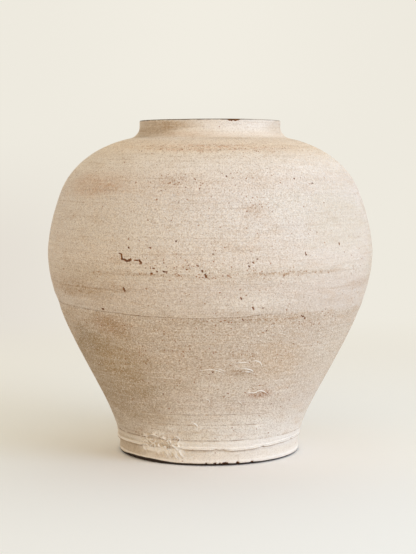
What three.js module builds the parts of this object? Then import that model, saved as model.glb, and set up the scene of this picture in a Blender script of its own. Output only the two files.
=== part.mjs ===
// A large jar with a banded foot, wide shoulders and a low collar.
// It is thrown in separate pieces that are luted together with slip: a foot ring, a base disc, a lower
// and an upper bowl wall joined at the seam, and a neck collar, with a coil pressed into the corner of
// the floor and another over the seam inside.
// Millimetres, +Z up, with the origin at the centre of the foot's underside.
// Every piece is turned about the axis, so its section is a list of points, each a radius and a height.

import * as THREE from 'three';

// Foot ring
const footRadius = 109;
const footWidth = 21; // across the face it stands on and the two worn edges
const footHeight = 16.2; // up to the joint with the base disc
const footOuterWear = 2.2; // worn off the outer edge of the underside
const footInnerWear = 1.2; // worn off the inner edge of the underside

// Base disc: its edge shows as a band above the foot ring
const bandStep = 2; // how far the band stands out of the foot ring
const bandHeight = 11;

// Heights of the stretches of wall, each measured from the end of the one below
const lowerWallRise = 152; // from the base disc's band up to the seam
const bellyRise = 60; // from the seam up to the widest place
const shoulderRise = 81.5; // from the widest place up to the turn of the shoulder
const neckRootRise = 56; // from the turn of the shoulder up to the root of the neck
const collarRise = 21.5; // from the root of the neck up to the rim

// Outline of the wall
const bellyRadius = 196.5;
const shoulderRadius = 176.5;
const shoulderLean = THREE.MathUtils.degToRad(27); // from upright, at the turn of the shoulder
const neckSlope = THREE.MathUtils.degToRad(15); // from level, at the root of the neck
const basePull = 41; // how far the outline holds its direction as it leaves each of these places
const bellyPullDown = 79;
const bellyPullUp = 29;
const shoulderPullDown = 14;
const shoulderPullUp = 52;
const neckPull = 2;

// Neck collar
const neckRadius = 84.8;
const neckFillet = 15; // hollow curve between the shoulder and the neck
const lipRound = 1.6; // both edges of the rim

// Thickness of the wall
const wallAtBase = 10;
const wallAtSeam = 8;
const wallAtNeck = 7.5;

// Luted joints: the lower piece has a tongue along its inner side, the upper piece sits over it
const tongueHeight = 4;
const slipCoat = 1.2;
const footSlipCoat = 1.8; // thicker, because it was squeezed out into a lip
const footLipReach = 0.6; // how far the lip stands out of the band above it

// Coils of clay inside
const floorCoilRadius = 12;
const seamCoilThickness = 6;
const seamCoilBelow = 10; // how far it reaches below and above the seam's joint
const seamCoilAbove = 14;
const coilClearance = 0.45; // between a coil and the curved wall behind it

// Finishes: colours of the slip coat on each piece, and of the bare clay inside
const footCoat = 0xddd2c2;
const lipCoat = 0xe6dccb;
const bandCoat = 0xd9cbb8;
const seamCoat = 0xd8c7b0;
const lowerWallCoat = 0xcdb9a2;
const upperWallCoat = 0xddcdba;
const collarCoat = 0xe3d8c6;
const bareClay = 0xa88567;
const coatRoughness = 0.94;
const clayRoughness = 0.97;

// Fineness of the turned pieces
const turnSteps = 60;
const lowerWallSteps = 8;
const bellySteps = 4;
const shoulderSteps = 13;
const filletSteps = 4;
const roundSteps = 2;
const coilSteps = 4;

// Heights of the joints and of the outline's main places, and the radii that follow from others
const footJoint = footHeight;
const baseUnderside = footJoint + footSlipCoat;
const baseJoint = baseUnderside + bandHeight;
const seamJoint = baseJoint + lowerWallRise;
const bellyHeight = seamJoint + bellyRise;
const shoulderHeight = bellyHeight + shoulderRise;
const neckRoot = shoulderHeight + neckRootRise;
const neckJoint = neckRoot - slipCoat;
const rimHeight = neckRoot + collarRise;
const baseRadius = footRadius + bandStep;
const boreRadius = neckRadius - wallAtNeck;

function point(radius, height) {
  return new THREE.Vector2(radius, height);
}

// A point at a distance and an angle from a centre, the angle counted from outwards towards up.
function around(centre, distance, angle) {
  return point(centre.x + distance * Math.cos(angle), centre.y + distance * Math.sin(angle));
}

// A round stretch about a centre, from one angle to another.
function arc(centre, distance, fromAngle, toAngle, steps) {
  return Array.from({ length: steps + 1 }, (_, step) =>
    around(centre, distance, THREE.MathUtils.lerp(fromAngle, toAngle, step / steps)));
}

// A smooth stretch of outline that leaves one place and reaches another in given directions.
function sweep(from, fromDirection, fromPull, to, toDirection, toPull) {
  return new THREE.CubicBezierCurve(
    from,
    from.clone().addScaledVector(fromDirection, fromPull),
    to.clone().addScaledVector(toDirection, -toPull),
    to,
  );
}

// The outside of the wall, from the base disc's lower edge up to the root of the neck.
function wallOutline() {
  const upright = point(0, 1);
  const leaning = point(-Math.sin(shoulderLean), Math.cos(shoulderLean));
  const towardsNeck = point(-Math.cos(neckSlope), Math.sin(neckSlope));
  const base = point(baseRadius, baseUnderside);
  const belly = point(bellyRadius, bellyHeight);
  const shoulder = point(shoulderRadius, shoulderHeight);
  const root = point(neckRadius + neckFillet * (1 - Math.sin(neckSlope)), neckRoot);
  const outline = new THREE.CurvePath();
  outline.add(sweep(base, upright, basePull, belly, upright, bellyPullDown));
  outline.add(sweep(belly, upright, bellyPullUp, shoulder, leaning, shoulderPullDown));
  outline.add(sweep(shoulder, leaning, shoulderPullUp, root, towardsNeck, neckPull));
  return outline;
}

const outline = wallOutline();

function wallThickness(height) {
  if (height < seamJoint) {
    return THREE.MathUtils.mapLinear(height, baseJoint, seamJoint, wallAtBase, wallAtSeam);
  }
  return THREE.MathUtils.mapLinear(height, seamJoint, neckRoot, wallAtSeam, wallAtNeck);
}

// The two faces of the wall, by the share of the outline's length from the base to the neck. Deeper
// points lie inside the jar, off the inner face.
function outerFace(share) {
  return outline.getPoint(share);
}

function innerFace(share, deeper = 0) {
  const outer = outerFace(share);
  const along = outline.getTangent(share);
  const inwards = point(-along.y, along.x);
  return outer.addScaledVector(inwards, wallThickness(outer.y) + deeper);
}

// The share at which a face reaches a height.
function shareAt(face, height) {
  let low = 0;
  let high = 1;
  for (let halving = 0; halving < 40; halving += 1) {
    const middle = (low + high) / 2;
    if (face(middle).y < height) {
      low = middle;
    } else {
      high = middle;
    }
  }
  return (low + high) / 2;
}

function radiusAt(face, height) {
  return face(shareAt(face, height)).x;
}

// The points of a face between two shares, without the two ends.
function between(face, fromShare, toShare, steps) {
  return Array.from({ length: steps - 1 }, (_, step) =>
    face(THREE.MathUtils.lerp(fromShare, toShare, (step + 1) / steps)));
}

// The two faces of a luted joint, each from the outside to the inside. The lower piece ends in a level
// land and a tongue, and the upper piece lies a coat of slip above both.
function lutedJoint(height, coat, wall, outsideAt, insideAt) {
  const tongueTop = height + tongueHeight;
  const tongueRadius = insideAt(tongueTop) + wall / 2;
  const lower = [
    point(outsideAt(height), height),
    point(tongueRadius, height),
    point(tongueRadius, tongueTop),
    point(insideAt(tongueTop), tongueTop),
  ];
  const upper = [
    point(outsideAt(height + coat), height + coat),
    point(tongueRadius + coat, height + coat),
    point(tongueRadius + coat, tongueTop + coat),
    point(insideAt(tongueTop + coat), tongueTop + coat),
  ];
  return { lower, upper };
}

const outsideWall = (height) => radiusAt(outerFace, height);
const insideWall = (height) => radiusAt(innerFace, height);
const outsideFoot = (height) => (height < baseUnderside ? footRadius : baseRadius);
const insideFoot = () => footRadius - footWidth;
const insideNeck = () => boreRadius;

const footLuting = lutedJoint(footJoint, footSlipCoat, footWidth, outsideFoot, insideFoot);
const baseLuting = lutedJoint(baseJoint, slipCoat, wallAtBase, outsideWall, insideWall);
const seamLuting = lutedJoint(seamJoint, slipCoat, wallAtSeam, outsideWall, insideWall);
const neckLuting = lutedJoint(neckJoint, slipCoat, wallAtNeck, outsideWall, insideNeck);

// A turned solid. A section that stays off the axis is closed on itself, and one that starts and ends on
// the axis is already closed. Sections run anticlockwise, with the radius to the right and height up.
function turned(section, material) {
  const onAxis = section[0].x === 0;
  const ring = onAxis ? section : [...section, section[0].clone()];
  const geometry = new THREE.LatheGeometry(ring, turnSteps);
  geometry.rotateX(Math.PI / 2);
  return new THREE.Mesh(geometry, material);
}

function coated(colour) {
  return new THREE.MeshStandardMaterial({ color: colour, roughness: coatRoughness, metalness: 0 });
}

function bare(colour) {
  return new THREE.MeshStandardMaterial({ color: colour, roughness: clayRoughness, metalness: 0 });
}

function footRing() {
  const innerRadius = footRadius - footWidth;
  const section = [
    point(innerRadius, footInnerWear),
    point(innerRadius + footInnerWear, 0),
    point(footRadius - footOuterWear, 0),
    point(footRadius, footOuterWear),
    ...footLuting.lower,
  ];
  return turned(section, coated(footCoat));
}

function footSlip() {
  const lipRadius = baseRadius + footLipReach;
  const lip = [
    point(lipRadius, footJoint + footSlipCoat * 0.3),
    point(lipRadius, footJoint + footSlipCoat * 0.75),
  ];
  const section = [...footLuting.lower.toReversed(), ...lip, ...footLuting.upper];
  return turned(section, coated(lipCoat));
}

function baseDisc() {
  const undersideHeight = footLuting.upper.at(-1).y;
  const floorHeight = baseLuting.lower.at(-1).y;
  const section = [
    point(0, undersideHeight),
    ...footLuting.upper.toReversed(),
    ...baseLuting.lower,
    point(0, floorHeight),
  ];
  return turned(section, coated(bandCoat));
}

function slipRing(luting) {
  return turned([...luting.lower.toReversed(), ...luting.upper], coated(seamCoat));
}

// A wall between two luted joints, hollow side inwards.
function wallSection(lowerEnd, upperEnd, steps) {
  const bottomOutside = shareAt(outerFace, lowerEnd[0].y);
  const topOutside = shareAt(outerFace, upperEnd[0].y);
  const bottomInside = shareAt(innerFace, lowerEnd.at(-1).y);
  const topInside = shareAt(innerFace, upperEnd.at(-1).y);
  return [
    ...lowerEnd.toReversed(),
    ...between(outerFace, bottomOutside, topOutside, steps),
    ...upperEnd,
    ...between(innerFace, topInside, bottomInside, steps),
  ];
}

function lowerWall() {
  return turned(wallSection(baseLuting.upper, seamLuting.lower, lowerWallSteps), coated(lowerWallCoat));
}

// Under the neck the inside of the wall runs on in the slope of the shoulder as far as the bore.
function upperWall() {
  const bottomOutside = shareAt(outerFace, seamLuting.upper[0].y);
  const bottomInside = shareAt(innerFace, seamLuting.upper.at(-1).y);
  const widest = shareAt(outerFace, bellyHeight);
  const topOutside = shareAt(outerFace, neckLuting.lower[0].y);
  const innerRoot = innerFace(1);
  const underBore = innerRoot.y + (innerRoot.x - boreRadius) * Math.tan(neckSlope);
  const section = [
    ...seamLuting.upper.toReversed(),
    ...between(outerFace, bottomOutside, widest, bellySteps),
    outerFace(widest),
    ...between(outerFace, widest, topOutside, shoulderSteps),
    ...neckLuting.lower,
    point(boreRadius, underBore),
    innerRoot,
    ...between(innerFace, 1, widest, shoulderSteps),
    innerFace(widest),
    ...between(innerFace, widest, bottomInside, bellySteps),
  ];
  return turned(section, coated(upperWallCoat));
}

function neckCollar() {
  const filletCentre = point(neckRadius + neckFillet, neckRoot + neckFillet * Math.cos(neckSlope));
  const fillet = arc(filletCentre, neckFillet, -Math.PI / 2 - neckSlope, -Math.PI, filletSteps);
  const outerRound = point(neckRadius - lipRound, rimHeight - lipRound);
  const innerRound = point(boreRadius + lipRound, rimHeight - lipRound);
  const section = [
    ...neckLuting.upper.toReversed(),
    ...fillet.slice(1),
    ...arc(outerRound, lipRound, 0, Math.PI / 2, roundSteps),
    ...arc(innerRound, lipRound, Math.PI / 2, Math.PI, roundSteps),
  ];
  return turned(section, coated(collarCoat));
}

// A quarter-round coil that lies on the floor, in the corner with the wall.
function floorCoil() {
  const floorHeight = baseLuting.lower.at(-1).y;
  const backRadius = insideWall(floorHeight) - coilClearance;
  const corner = point(backRadius, floorHeight);
  const section = [corner, ...arc(corner, floorCoilRadius, Math.PI / 2, Math.PI, coilSteps)];
  return turned(section, bare(bareClay));
}

// A flattened coil over the inside of the seam, round on its free side.
function seamCoil() {
  const bottom = shareAt(innerFace, seamJoint - seamCoilBelow);
  const top = shareAt(innerFace, seamJoint + tongueHeight + seamCoilAbove);
  const shares = Array.from({ length: coilSteps + 1 }, (_, step) =>
    THREE.MathUtils.lerp(bottom, top, step / coilSteps));
  const back = shares.map((share) => innerFace(share, coilClearance));
  const front = shares.slice(1, -1).map((share, step) => {
    const swell = Math.sin((Math.PI * (step + 1)) / coilSteps);
    return innerFace(share, coilClearance + seamCoilThickness * swell);
  });
  return turned([...back, ...front.toReversed()], bare(bareClay));
}

const pieces = {
  foot_ring: footRing(),
  foot_slip: footSlip(),
  base_disc: baseDisc(),
  base_slip: slipRing(baseLuting),
  floor_coil: floorCoil(),
  lower_wall: lowerWall(),
  seam_slip: slipRing(seamLuting),
  seam_coil: seamCoil(),
  upper_wall: upperWall(),
  neck_slip: slipRing(neckLuting),
  neck_collar: neckCollar(),
};

const jar = new THREE.Group();
for (const [name, piece] of Object.entries(pieces)) {
  piece.name = name;
  jar.add(piece);
}

export default jar;
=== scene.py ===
# A wide-shouldered stoneware jar with a low collar and a banded foot, coated in cream slip.
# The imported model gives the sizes. The pieces here have its thrown surface, its squeezed-out slip and
# its marks. Metres, +Z up, the jar's axis on Z, the camera in front of it on -Y.

import math

import bpy
import numpy as np
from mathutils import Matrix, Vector, noise
from mathutils.geometry import interpolate_bezier


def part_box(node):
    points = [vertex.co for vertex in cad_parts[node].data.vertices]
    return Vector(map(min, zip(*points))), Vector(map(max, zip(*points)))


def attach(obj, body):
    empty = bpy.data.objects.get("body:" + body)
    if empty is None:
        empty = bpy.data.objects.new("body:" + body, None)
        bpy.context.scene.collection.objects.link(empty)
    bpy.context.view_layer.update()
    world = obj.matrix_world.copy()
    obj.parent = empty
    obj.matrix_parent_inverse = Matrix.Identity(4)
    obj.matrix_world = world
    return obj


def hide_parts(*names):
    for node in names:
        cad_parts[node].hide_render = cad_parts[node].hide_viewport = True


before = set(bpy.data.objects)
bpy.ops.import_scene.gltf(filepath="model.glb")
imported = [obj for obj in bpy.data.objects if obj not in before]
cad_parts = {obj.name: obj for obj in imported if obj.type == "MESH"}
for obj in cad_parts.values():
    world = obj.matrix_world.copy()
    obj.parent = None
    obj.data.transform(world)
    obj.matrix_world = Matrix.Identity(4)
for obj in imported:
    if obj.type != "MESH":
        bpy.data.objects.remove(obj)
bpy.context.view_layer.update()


# The camera, fitted to the ellipses of the rim, the seam and the foot
cameraPlace = {"x": -0.0024, "y": -1.7263, "z": 0.3455, "downTilt": 4.472, "lens": 92.30}


def placeCamera():
    eye = bpy.data.cameras.new("jarCamera")
    eye.lens = cameraPlace["lens"]
    holder = bpy.data.objects.new("jarCamera", eye)
    holder.location = (cameraPlace["x"], cameraPlace["y"], cameraPlace["z"])
    holder.rotation_euler = (math.radians(90 - cameraPlace["downTilt"]), 0, 0)
    bpy.context.scene.collection.objects.link(holder)
    bpy.context.scene.camera = holder


placeCamera()


# Outline of the wall: what the nodes' boxes don't say. A pull is how far the line holds its direction.
wall = {
    "bellyRise": 0.060, "shoulderRise": 0.0815,
    "shoulderRadius": 0.1765, "shoulderLean": math.radians(27), "neckSlope": math.radians(15),
    "basePull": 0.041, "bellyPullDown": 0.079, "bellyPullUp": 0.029,
    "shoulderPullDown": 0.014, "shoulderPullUp": 0.052, "neckPull": 0.002,
    "neckRadius": 0.0848, "neckFillet": 0.015, "rimRound": 0.0016,
    "thickAtBase": 0.010, "thickAtSeam": 0.008, "thickAtNeck": 0.0075,
    "bandStep": 0.002, "footWidth": 0.021, "footInnerWear": 0.0012, "sweepPoints": 160,
}

# Heights of the joints, from the frame
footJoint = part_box("foot_slip")[0].z
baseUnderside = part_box("base_disc")[0].z
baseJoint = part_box("base_slip")[0].z
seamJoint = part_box("seam_slip")[0].z
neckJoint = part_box("neck_slip")[0].z
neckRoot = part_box("neck_collar")[0].z
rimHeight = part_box("neck_collar")[1].z
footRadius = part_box("foot_ring")[1].x
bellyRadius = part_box("upper_wall")[1].x
baseRadius = footRadius + wall["bandStep"]
boreRadius = wall["neckRadius"] - wall["thickAtNeck"]
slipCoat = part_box("lower_wall")[0].z - baseJoint
footSlipCoat = baseUnderside - footJoint
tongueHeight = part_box("lower_wall")[1].z - seamJoint
bellyHeight = seamJoint + wall["bellyRise"]
shoulderHeight = bellyHeight + wall["shoulderRise"]


def sweep(start, startWay, startPull, end, endWay, endPull):
    # a smooth stretch of outline, as radius and height
    startHandle = Vector(start) + Vector(startWay) * startPull
    endHandle = Vector(end) - Vector(endWay) * endPull
    points = interpolate_bezier(Vector(start), startHandle, endHandle, Vector(end), wall["sweepPoints"])
    return [tuple(p) for p in points]


def wallOutline():
    upright = (0, 1)
    leaning = (-math.sin(wall["shoulderLean"]), math.cos(wall["shoulderLean"]))
    towardsNeck = (-math.cos(wall["neckSlope"]), math.sin(wall["neckSlope"]))
    base, belly = (baseRadius, baseUnderside), (bellyRadius, bellyHeight)
    shoulder = (wall["shoulderRadius"], shoulderHeight)
    root = (wall["neckRadius"] + wall["neckFillet"] * (1 - math.sin(wall["neckSlope"])), neckRoot)
    lower = sweep(base, upright, wall["basePull"], belly, upright, wall["bellyPullDown"])
    middle = sweep(belly, upright, wall["bellyPullUp"], shoulder, leaning, wall["shoulderPullDown"])
    upper = sweep(shoulder, leaning, wall["shoulderPullUp"], root, towardsNeck, wall["neckPull"])
    return np.array(lower + middle[1:] + upper[1:])


def wallThickness(height):
    # it thins from the base to the seam, and again to the neck
    return np.interp(height, (baseJoint, seamJoint, neckRoot),
                     (wall["thickAtBase"], wall["thickAtSeam"], wall["thickAtNeck"]))


def arcPoints(centre, distance, fromAngle, toAngle, steps):
    angles = np.linspace(fromAngle, toAngle, steps + 1)
    return [(centre[0] + distance * math.cos(a), centre[1] + distance * math.sin(a)) for a in angles]


outerLine = wallOutline()
along = np.gradient(outerLine, axis=0)
along /= np.linalg.norm(along, axis=1)[:, None]
innerLine = outerLine + np.column_stack((-along[:, 1], along[:, 0])) * wallThickness(outerLine[:, 1])[:, None]
innerLine = innerLine[innerLine[:, 1].argsort()]


def outsideWall(height):
    return float(np.interp(height, outerLine[:, 1], outerLine[:, 0]))


def insideWall(height):
    return float(np.interp(height, innerLine[:, 1], innerLine[:, 0]))


def runUp(line, fromHeight, toHeight, spacing):
    # points along a face between two heights, about the spacing apart, with both ends
    lengths = np.r_[0, np.cumsum(np.linalg.norm(np.diff(line, axis=0), axis=1))]
    start, end = np.interp((fromHeight, toHeight), line[:, 1], lengths)
    places = np.linspace(start, end, max(2, round((end - start) / spacing) + 1))
    radii = np.interp(places, lengths, line[:, 0])
    heights = np.interp(places, lengths, line[:, 1])
    return [(float(r), float(h)) for r, h in zip(radii, heights)]


def lutedJoint(height, coat, thickness, outside, inside):
    # the lower piece ends in a land and a tongue, and the upper piece lies a coat of slip above both
    top = height + tongueHeight
    tongueRadius = inside(top) + thickness / 2
    lower = [(outside(height), height), (tongueRadius, height), (tongueRadius, top), (inside(top), top)]
    upper = [
        (outside(height + coat), height + coat),
        (tongueRadius + coat, height + coat),
        (tongueRadius + coat, top + coat),
        (inside(top + coat), top + coat),
    ]
    return lower, upper


def footOutside(height):
    return footRadius if height < baseUnderside - 1e-6 else baseRadius


def footInside(height):
    return footRadius - wall["footWidth"]


def neckInside(height):
    return boreRadius


footLower, footUpper = lutedJoint(footJoint, footSlipCoat, wall["footWidth"], footOutside, footInside)
baseLower, baseUpper = lutedJoint(baseJoint, slipCoat, wall["thickAtBase"], outsideWall, insideWall)
seamLower, seamUpper = lutedJoint(seamJoint, slipCoat, wall["thickAtSeam"], outsideWall, insideWall)
neckLower, neckUpper = lutedJoint(neckJoint, slipCoat, wall["thickAtNeck"], outsideWall, neckInside)

# The collar's outside: the hollow curve out of the shoulder, the upright, and the rounded rim
filletCentre = (wall["neckRadius"] + wall["neckFillet"],
                neckRoot + wall["neckFillet"] * math.cos(wall["neckSlope"]))
collarFillet = arcPoints(filletCentre, wall["neckFillet"], -math.pi / 2 - wall["neckSlope"], -math.pi, 12)
rimOuterRound = arcPoints((wall["neckRadius"] - wall["rimRound"], rimHeight - wall["rimRound"]),
                          wall["rimRound"], 0, math.pi / 2, 5)
rimInnerRound = arcPoints((boreRadius + wall["rimRound"], rimHeight - wall["rimRound"]),
                          wall["rimRound"], math.pi / 2, math.pi, 5)

# The whole skin from the foot's worn edge to the rim, which relief and marks follow
footEdge = [(footRadius - 0.0060, 0.0), (footRadius - 0.0040, 0.0003), (footRadius - 0.0018, 0.0005),
            (footRadius - 0.0008, 0.0008), (footRadius - 0.0003, 0.0013), (footRadius, 0.0021)]
skinLine = np.array(
    footEdge + [(footRadius, footJoint)] + [(baseRadius, footJoint + 0.3 * footSlipCoat)]
    + [tuple(p) for p in outerLine] + collarFillet[1:] + rimOuterRound)


def skinRadius(heights):
    return np.interp(heights, skinLine[:, 1], skinLine[:, 0])


def onSkin(azimuth, height):
    # a point of the skin; azimuth in degrees from the front, to the right
    turn = math.radians(azimuth)
    radius = float(skinRadius(height))
    return Vector((radius * math.sin(turn), -radius * math.cos(turn), height))


print("outline ready")

weldWithin = 2e-6  # points of a turned section closer than this are one


def clearSelection():
    if bpy.context.object and bpy.context.object.mode != "OBJECT":
        bpy.ops.object.mode_set(mode="OBJECT")
    bpy.ops.object.select_all(action="DESELECT")


def turnPiece(name, section, steps):
    # the section is drawn point by point in the XZ plane, closed, and turned once round the axis
    clearSelection()
    bpy.ops.mesh.primitive_plane_add(size=0.001, location=(section[0][0], 0, section[0][1]))
    piece = bpy.context.object
    piece.name = name
    piece.data.name = name
    bpy.ops.object.transform_apply(location=True, rotation=True, scale=True)
    bpy.ops.object.mode_set(mode="EDIT")
    bpy.ops.mesh.select_all(action="SELECT")
    bpy.ops.mesh.merge(type="CENTER")
    for (radius, height), (nextRadius, nextHeight) in zip(section, section[1:]):
        step = (nextRadius - radius, 0, nextHeight - height)
        bpy.ops.mesh.extrude_vertices_move(TRANSFORM_OT_translate={"value": step})
    if max(section[0][0], section[-1][0]) > 1e-9:
        closing = (section[0][0] - section[-1][0], 0, section[0][1] - section[-1][1])
        bpy.ops.mesh.extrude_vertices_move(TRANSFORM_OT_translate={"value": closing})
    bpy.ops.mesh.select_all(action="SELECT")
    bpy.ops.mesh.remove_doubles(threshold=weldWithin)
    bpy.ops.object.mode_set(mode="OBJECT")
    turning = piece.modifiers.new("turning", "SCREW")
    turning.axis = "Z"
    turning.angle = 2 * math.pi
    turning.steps = steps
    turning.render_steps = steps
    turning.use_merge_vertices = True
    turning.merge_threshold = weldWithin
    bpy.ops.object.modifier_apply(modifier="turning")
    bpy.ops.object.mode_set(mode="EDIT")
    bpy.ops.mesh.select_all(action="SELECT")
    bpy.ops.mesh.remove_doubles(threshold=weldWithin)
    bpy.ops.mesh.normals_make_consistent(inside=False)
    bpy.ops.object.mode_set(mode="OBJECT")
    return piece


# How the thrown skin differs from a true turned surface
surface = {
    "wobble": 0.0007, "wobbleSize": 0.13,
    "rings": 0.00024, "ringRise": 0.010, "ringLength": 0.35,
    "fineRings": 0.00009, "fineRingRise": 0.0034,
    "stucco": 0.00010, "stuccoSize": 0.0052,
    "footLean": -0.0014, "footLeanUpTo": 0.15,
    "seamReach": 0.009, "lipHeight": 0.0168, "lipReach": 0.0075,
    "refineWithin": 0.001,  # faces this near the skin may be cut finer
    "droopShade": 2.5,  # how much browner the skin is above slip that droops
    "lowest": 0.0006,  # no point is moved down past this height
    "bareBehind": 0.004,  # faces deeper in the wall than this are bare clay
}

# How far the seam and the lip at the foot leave the level, by azimuth, in metres
seamWander = ((-180, 0.0004), (-120, 0.0018), (-75, 0.0031), (-58, 0.0029), (-40, 0.0010), (-20, -0.0016),
              (-4, -0.0026), (8, -0.0016), (20, 0.0012), (40, 0.0006), (90, -0.0012), (180, 0.0004))
lipWander = ((-180, 0.0006), (-110, 0.0008), (-45, 0.0030), (-10, 0.0036), (4, 0.0033), (12, 0.0020),
             (22, 0.0024), (36, 0.0039), (50, 0.0050), (70, 0.0058), (110, 0.0024), (180, 0.0006))

# Lines scored or pressed into the skin: height, depth, half width, azimuth of both ends, and how far
# each half of the line drops
# The coats also paint each line browner, as painted shade in its groove
scoredLines = (
    (0.0300, 0.00038, 0.0007, -180, 180, 0),
    (0.0275, 0.00014, 0.0006, -20, 90, 0.0006),
    (0.0405, 0.00014, 0.0008, 8, 60, 0),
    (0.0620, 0.00040, 0.0008, -42, 38, 0.0004),
    (0.0665, 0.00012, 0.0006, -44, -15, 0.0004),
    (0.0490, 0.00042, 0.0009, -44, 32, 0.0004),
    (0.0720, 0.00016, 0.0010, 60, 175, 0.001),
    (0.2280, 0.00024, 0.0011, -64, 44, -0.0004),
    (0.2090, 0.00034, 0.0010, -70, 2, 0.0006),
    (0.1995, 0.00012, 0.0012, 10, 120, 0),
    (0.2890, 0.00040, 0.0005, -7, 8, -0.0004),
    (0.2795, 0.00012, 0.0006, -52, -4, 0),
    (0.2745, 0.00012, 0.0006, -58, 4, 0),
    (0.2950, 0.00016, 0.0007, -40, 30, -0.0003),
    (0.2840, 0.00016, 0.0007, 4, 60, 0.0003),
    (0.3130, 0.00016, 0.0008, -30, 50, 0),
    (0.3060, 0.00010, 0.0014, -70, 60, 0),
    (0.1410, 0.00012, 0.0016, -90, 40, 0.001),
    (0.2600, 0.00014, 0.0012, 80, 200, 0.001),
    (0.1200, 0.00014, 0.0012, -175, -70, 0.001),
)
scoring = {"wander": 0.0005, "waves": 5, "wanderAbove": 0.04, "raggedSize": (0.006, 0.006, 0.02),
           "fineDeeperThan": 0.00018, "fineHalf": 0.0012, "fineShare": 0.35}

# Where the lip of slip at the foot is smeared away, in degrees from the front
smear = {
    "from": -46, "to": -15, "fade": 2.5, "low": 0.005, "high": 0.040, "lowFade": 0.006, "highFade": 0.008,
    "lumps": 0.0006, "lumpSize": 0.0058, "fineLumpSize": 0.0024, "patchSize": 0.008,
    # paler and browner: the painted highlight on the crests and the painted shade in the creases
    "crests": 0.0009, "creases": 0.0002, "paler": 0.0010, "browner": 0.00024,
    "foldSize": 0.0072, "crestHalf": 0.13, "creaseAt": 0.25, "creaseHalf": 0.10, "bend": 0.0022,
    "bendSize": 0.0045, "bendSeeds": (51, 57, 63), "strokesBelow": 0.018, "strokeSize": 0.0019,
    "strokeFrom": -36, "strokeTo": -8, "strokeFade": 8, "slant": (0.77, 0.64), "stretch": (0.3, 0.2),
    "strokeGain": 1.6, "strokeCrest": 0.7, "strokeCrease": 0.6, "patchMean": 0.85, "patchSwing": 0.7,
    "fineLumpShare": 0.5, "lumpLowest": -0.4,
}


# Strands and curls of slip that dried on the foot and the lower wall: each is a run of places on the
# skin, azimuth and height, with the half width of the strand
strands = (
    ((-43.5, 0.0200), (-42.6, 0.0170), (-41.5, 0.0130), 0.0009),
    ((-43.8, 0.0225), (-42.0, 0.0255), (-39.6, 0.0250), (-38.4, 0.0215), 0.0008),
    ((-37.0, 0.0330), (-33.5, 0.0345), (-30.5, 0.0320), 0.0008),
    ((-30.0, 0.0300), (-28.6, 0.0262), (-27.2, 0.0245), 0.0007),
    ((-26.4, 0.0285), (-24.6, 0.0262), (-24.6, 0.0222), 0.0009),
    ((-23.6, 0.0240), (-21.4, 0.0228), (-19.4, 0.0196), (-18.4, 0.0178), 0.0011),
    ((-25.6, 0.0180), (-24.2, 0.0140), (-23.0, 0.0095), 0.0009),
    ((-22.2, 0.0150), (-20.8, 0.0110), (-18.8, 0.0072), 0.0008),
    ((-29.0, 0.0150), (-27.4, 0.0110), (-26.2, 0.0080), 0.0007),
    ((-11.0, 0.0515), (-9.0, 0.0525), (-7.0, 0.0500), (-6.0, 0.0460), 0.0007),
    ((-4.0, 0.1180), (0.0, 0.1192), (3.0, 0.1178), (5.5, 0.1150), 0.0006),
    ((1.5, 0.1205), (4.5, 0.1190), (7.0, 0.1152), 0.0006),
    ((10.5, 0.1265), (13.5, 0.1272), (16.0, 0.1262), 0.0007),
    ((13.0, 0.1195), (15.5, 0.1190), (17.5, 0.1172), (18.5, 0.1150), 0.0008),
    ((17.0, 0.1285), (19.5, 0.1278), (21.0, 0.1245), (21.6, 0.1215), 0.0007),
    ((13.5, 0.1165), (16.0, 0.1158), (18.5, 0.1138), 0.0007),
    ((18.0, 0.0900), (21.0, 0.0892), (23.5, 0.0912), (26.0, 0.0898), (28.6, 0.0858), 0.0008),
    ((13.5, 0.0800), (15.5, 0.0772), (16.5, 0.0752), 0.0006),
    ((-2.0, 0.0835), (-0.4, 0.0815), (0.2, 0.0780), 0.0006),
    ((24.0, 0.0470), (27.0, 0.0462), (30.0, 0.0468), (34.0, 0.0462), 0.0005),
    ((128.0, 0.1000), (131.0, 0.1012), (134.0, 0.0990), 0.0007),
    ((-118.0, 0.0700), (-114.0, 0.0720), (-111.0, 0.0690), 0.0008),
)


def grainNoise(points, size, seed):
    # one value for each point, about -1 to 1; size is the grain's size, or its sizes along x, y and z
    scaled = points / np.array(size) + seed
    return np.array([noise.noise(p) for p in scaled.tolist()])


def hump(value, middle, half):
    # 1 at the middle, falling off softly on both sides
    return np.exp(-(((value - middle) / half) ** 2))


def azimuthOf(points):
    return np.degrees(np.arctan2(points[:, 0], -points[:, 1]))


def stretchOf(azimuth, start, end, fade=4.0):
    # 1 inside a stretch of azimuth, fading out at its two ends
    return np.clip((azimuth - start) / fade, 0, 1) * np.clip((end - azimuth) / fade, 0, 1)


def wandering(table, azimuth):
    # a smooth way between the table's places
    places, heights = np.array(table).T
    step = np.clip(np.searchsorted(places, azimuth) - 1, 0, len(places) - 2)
    share = (azimuth - places[step]) / (places[step + 1] - places[step])
    share = (1 - np.cos(np.pi * share)) / 2
    return heights[step] * (1 - share) + heights[step + 1] * share


def smearAmount(azimuth):
    return stretchOf(azimuth, smear["from"], smear["to"], smear["fade"])


# Notches in the lip: azimuth, half width in degrees, and depth as a share of the lip
lipNotches = ((4.2, 1.6, 0.7), (8.6, 2.0, 0.85), (11.5, 1.0, 0.4), (34.2, 1.3, 0.6),
              (61, 1.5, 0.4), (120, 3, 0.7), (-98, 2, 0.6), (170, 2.5, 0.5))


def lipAmount(azimuth):
    # how much of the lip is left round the foot: none where it is smeared away, and little in the notches
    amount = 1 - smearAmount(azimuth)
    for middle, half, depth in lipNotches:
        amount *= 1 - depth * hump(azimuth, middle, half)
    return amount


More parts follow.
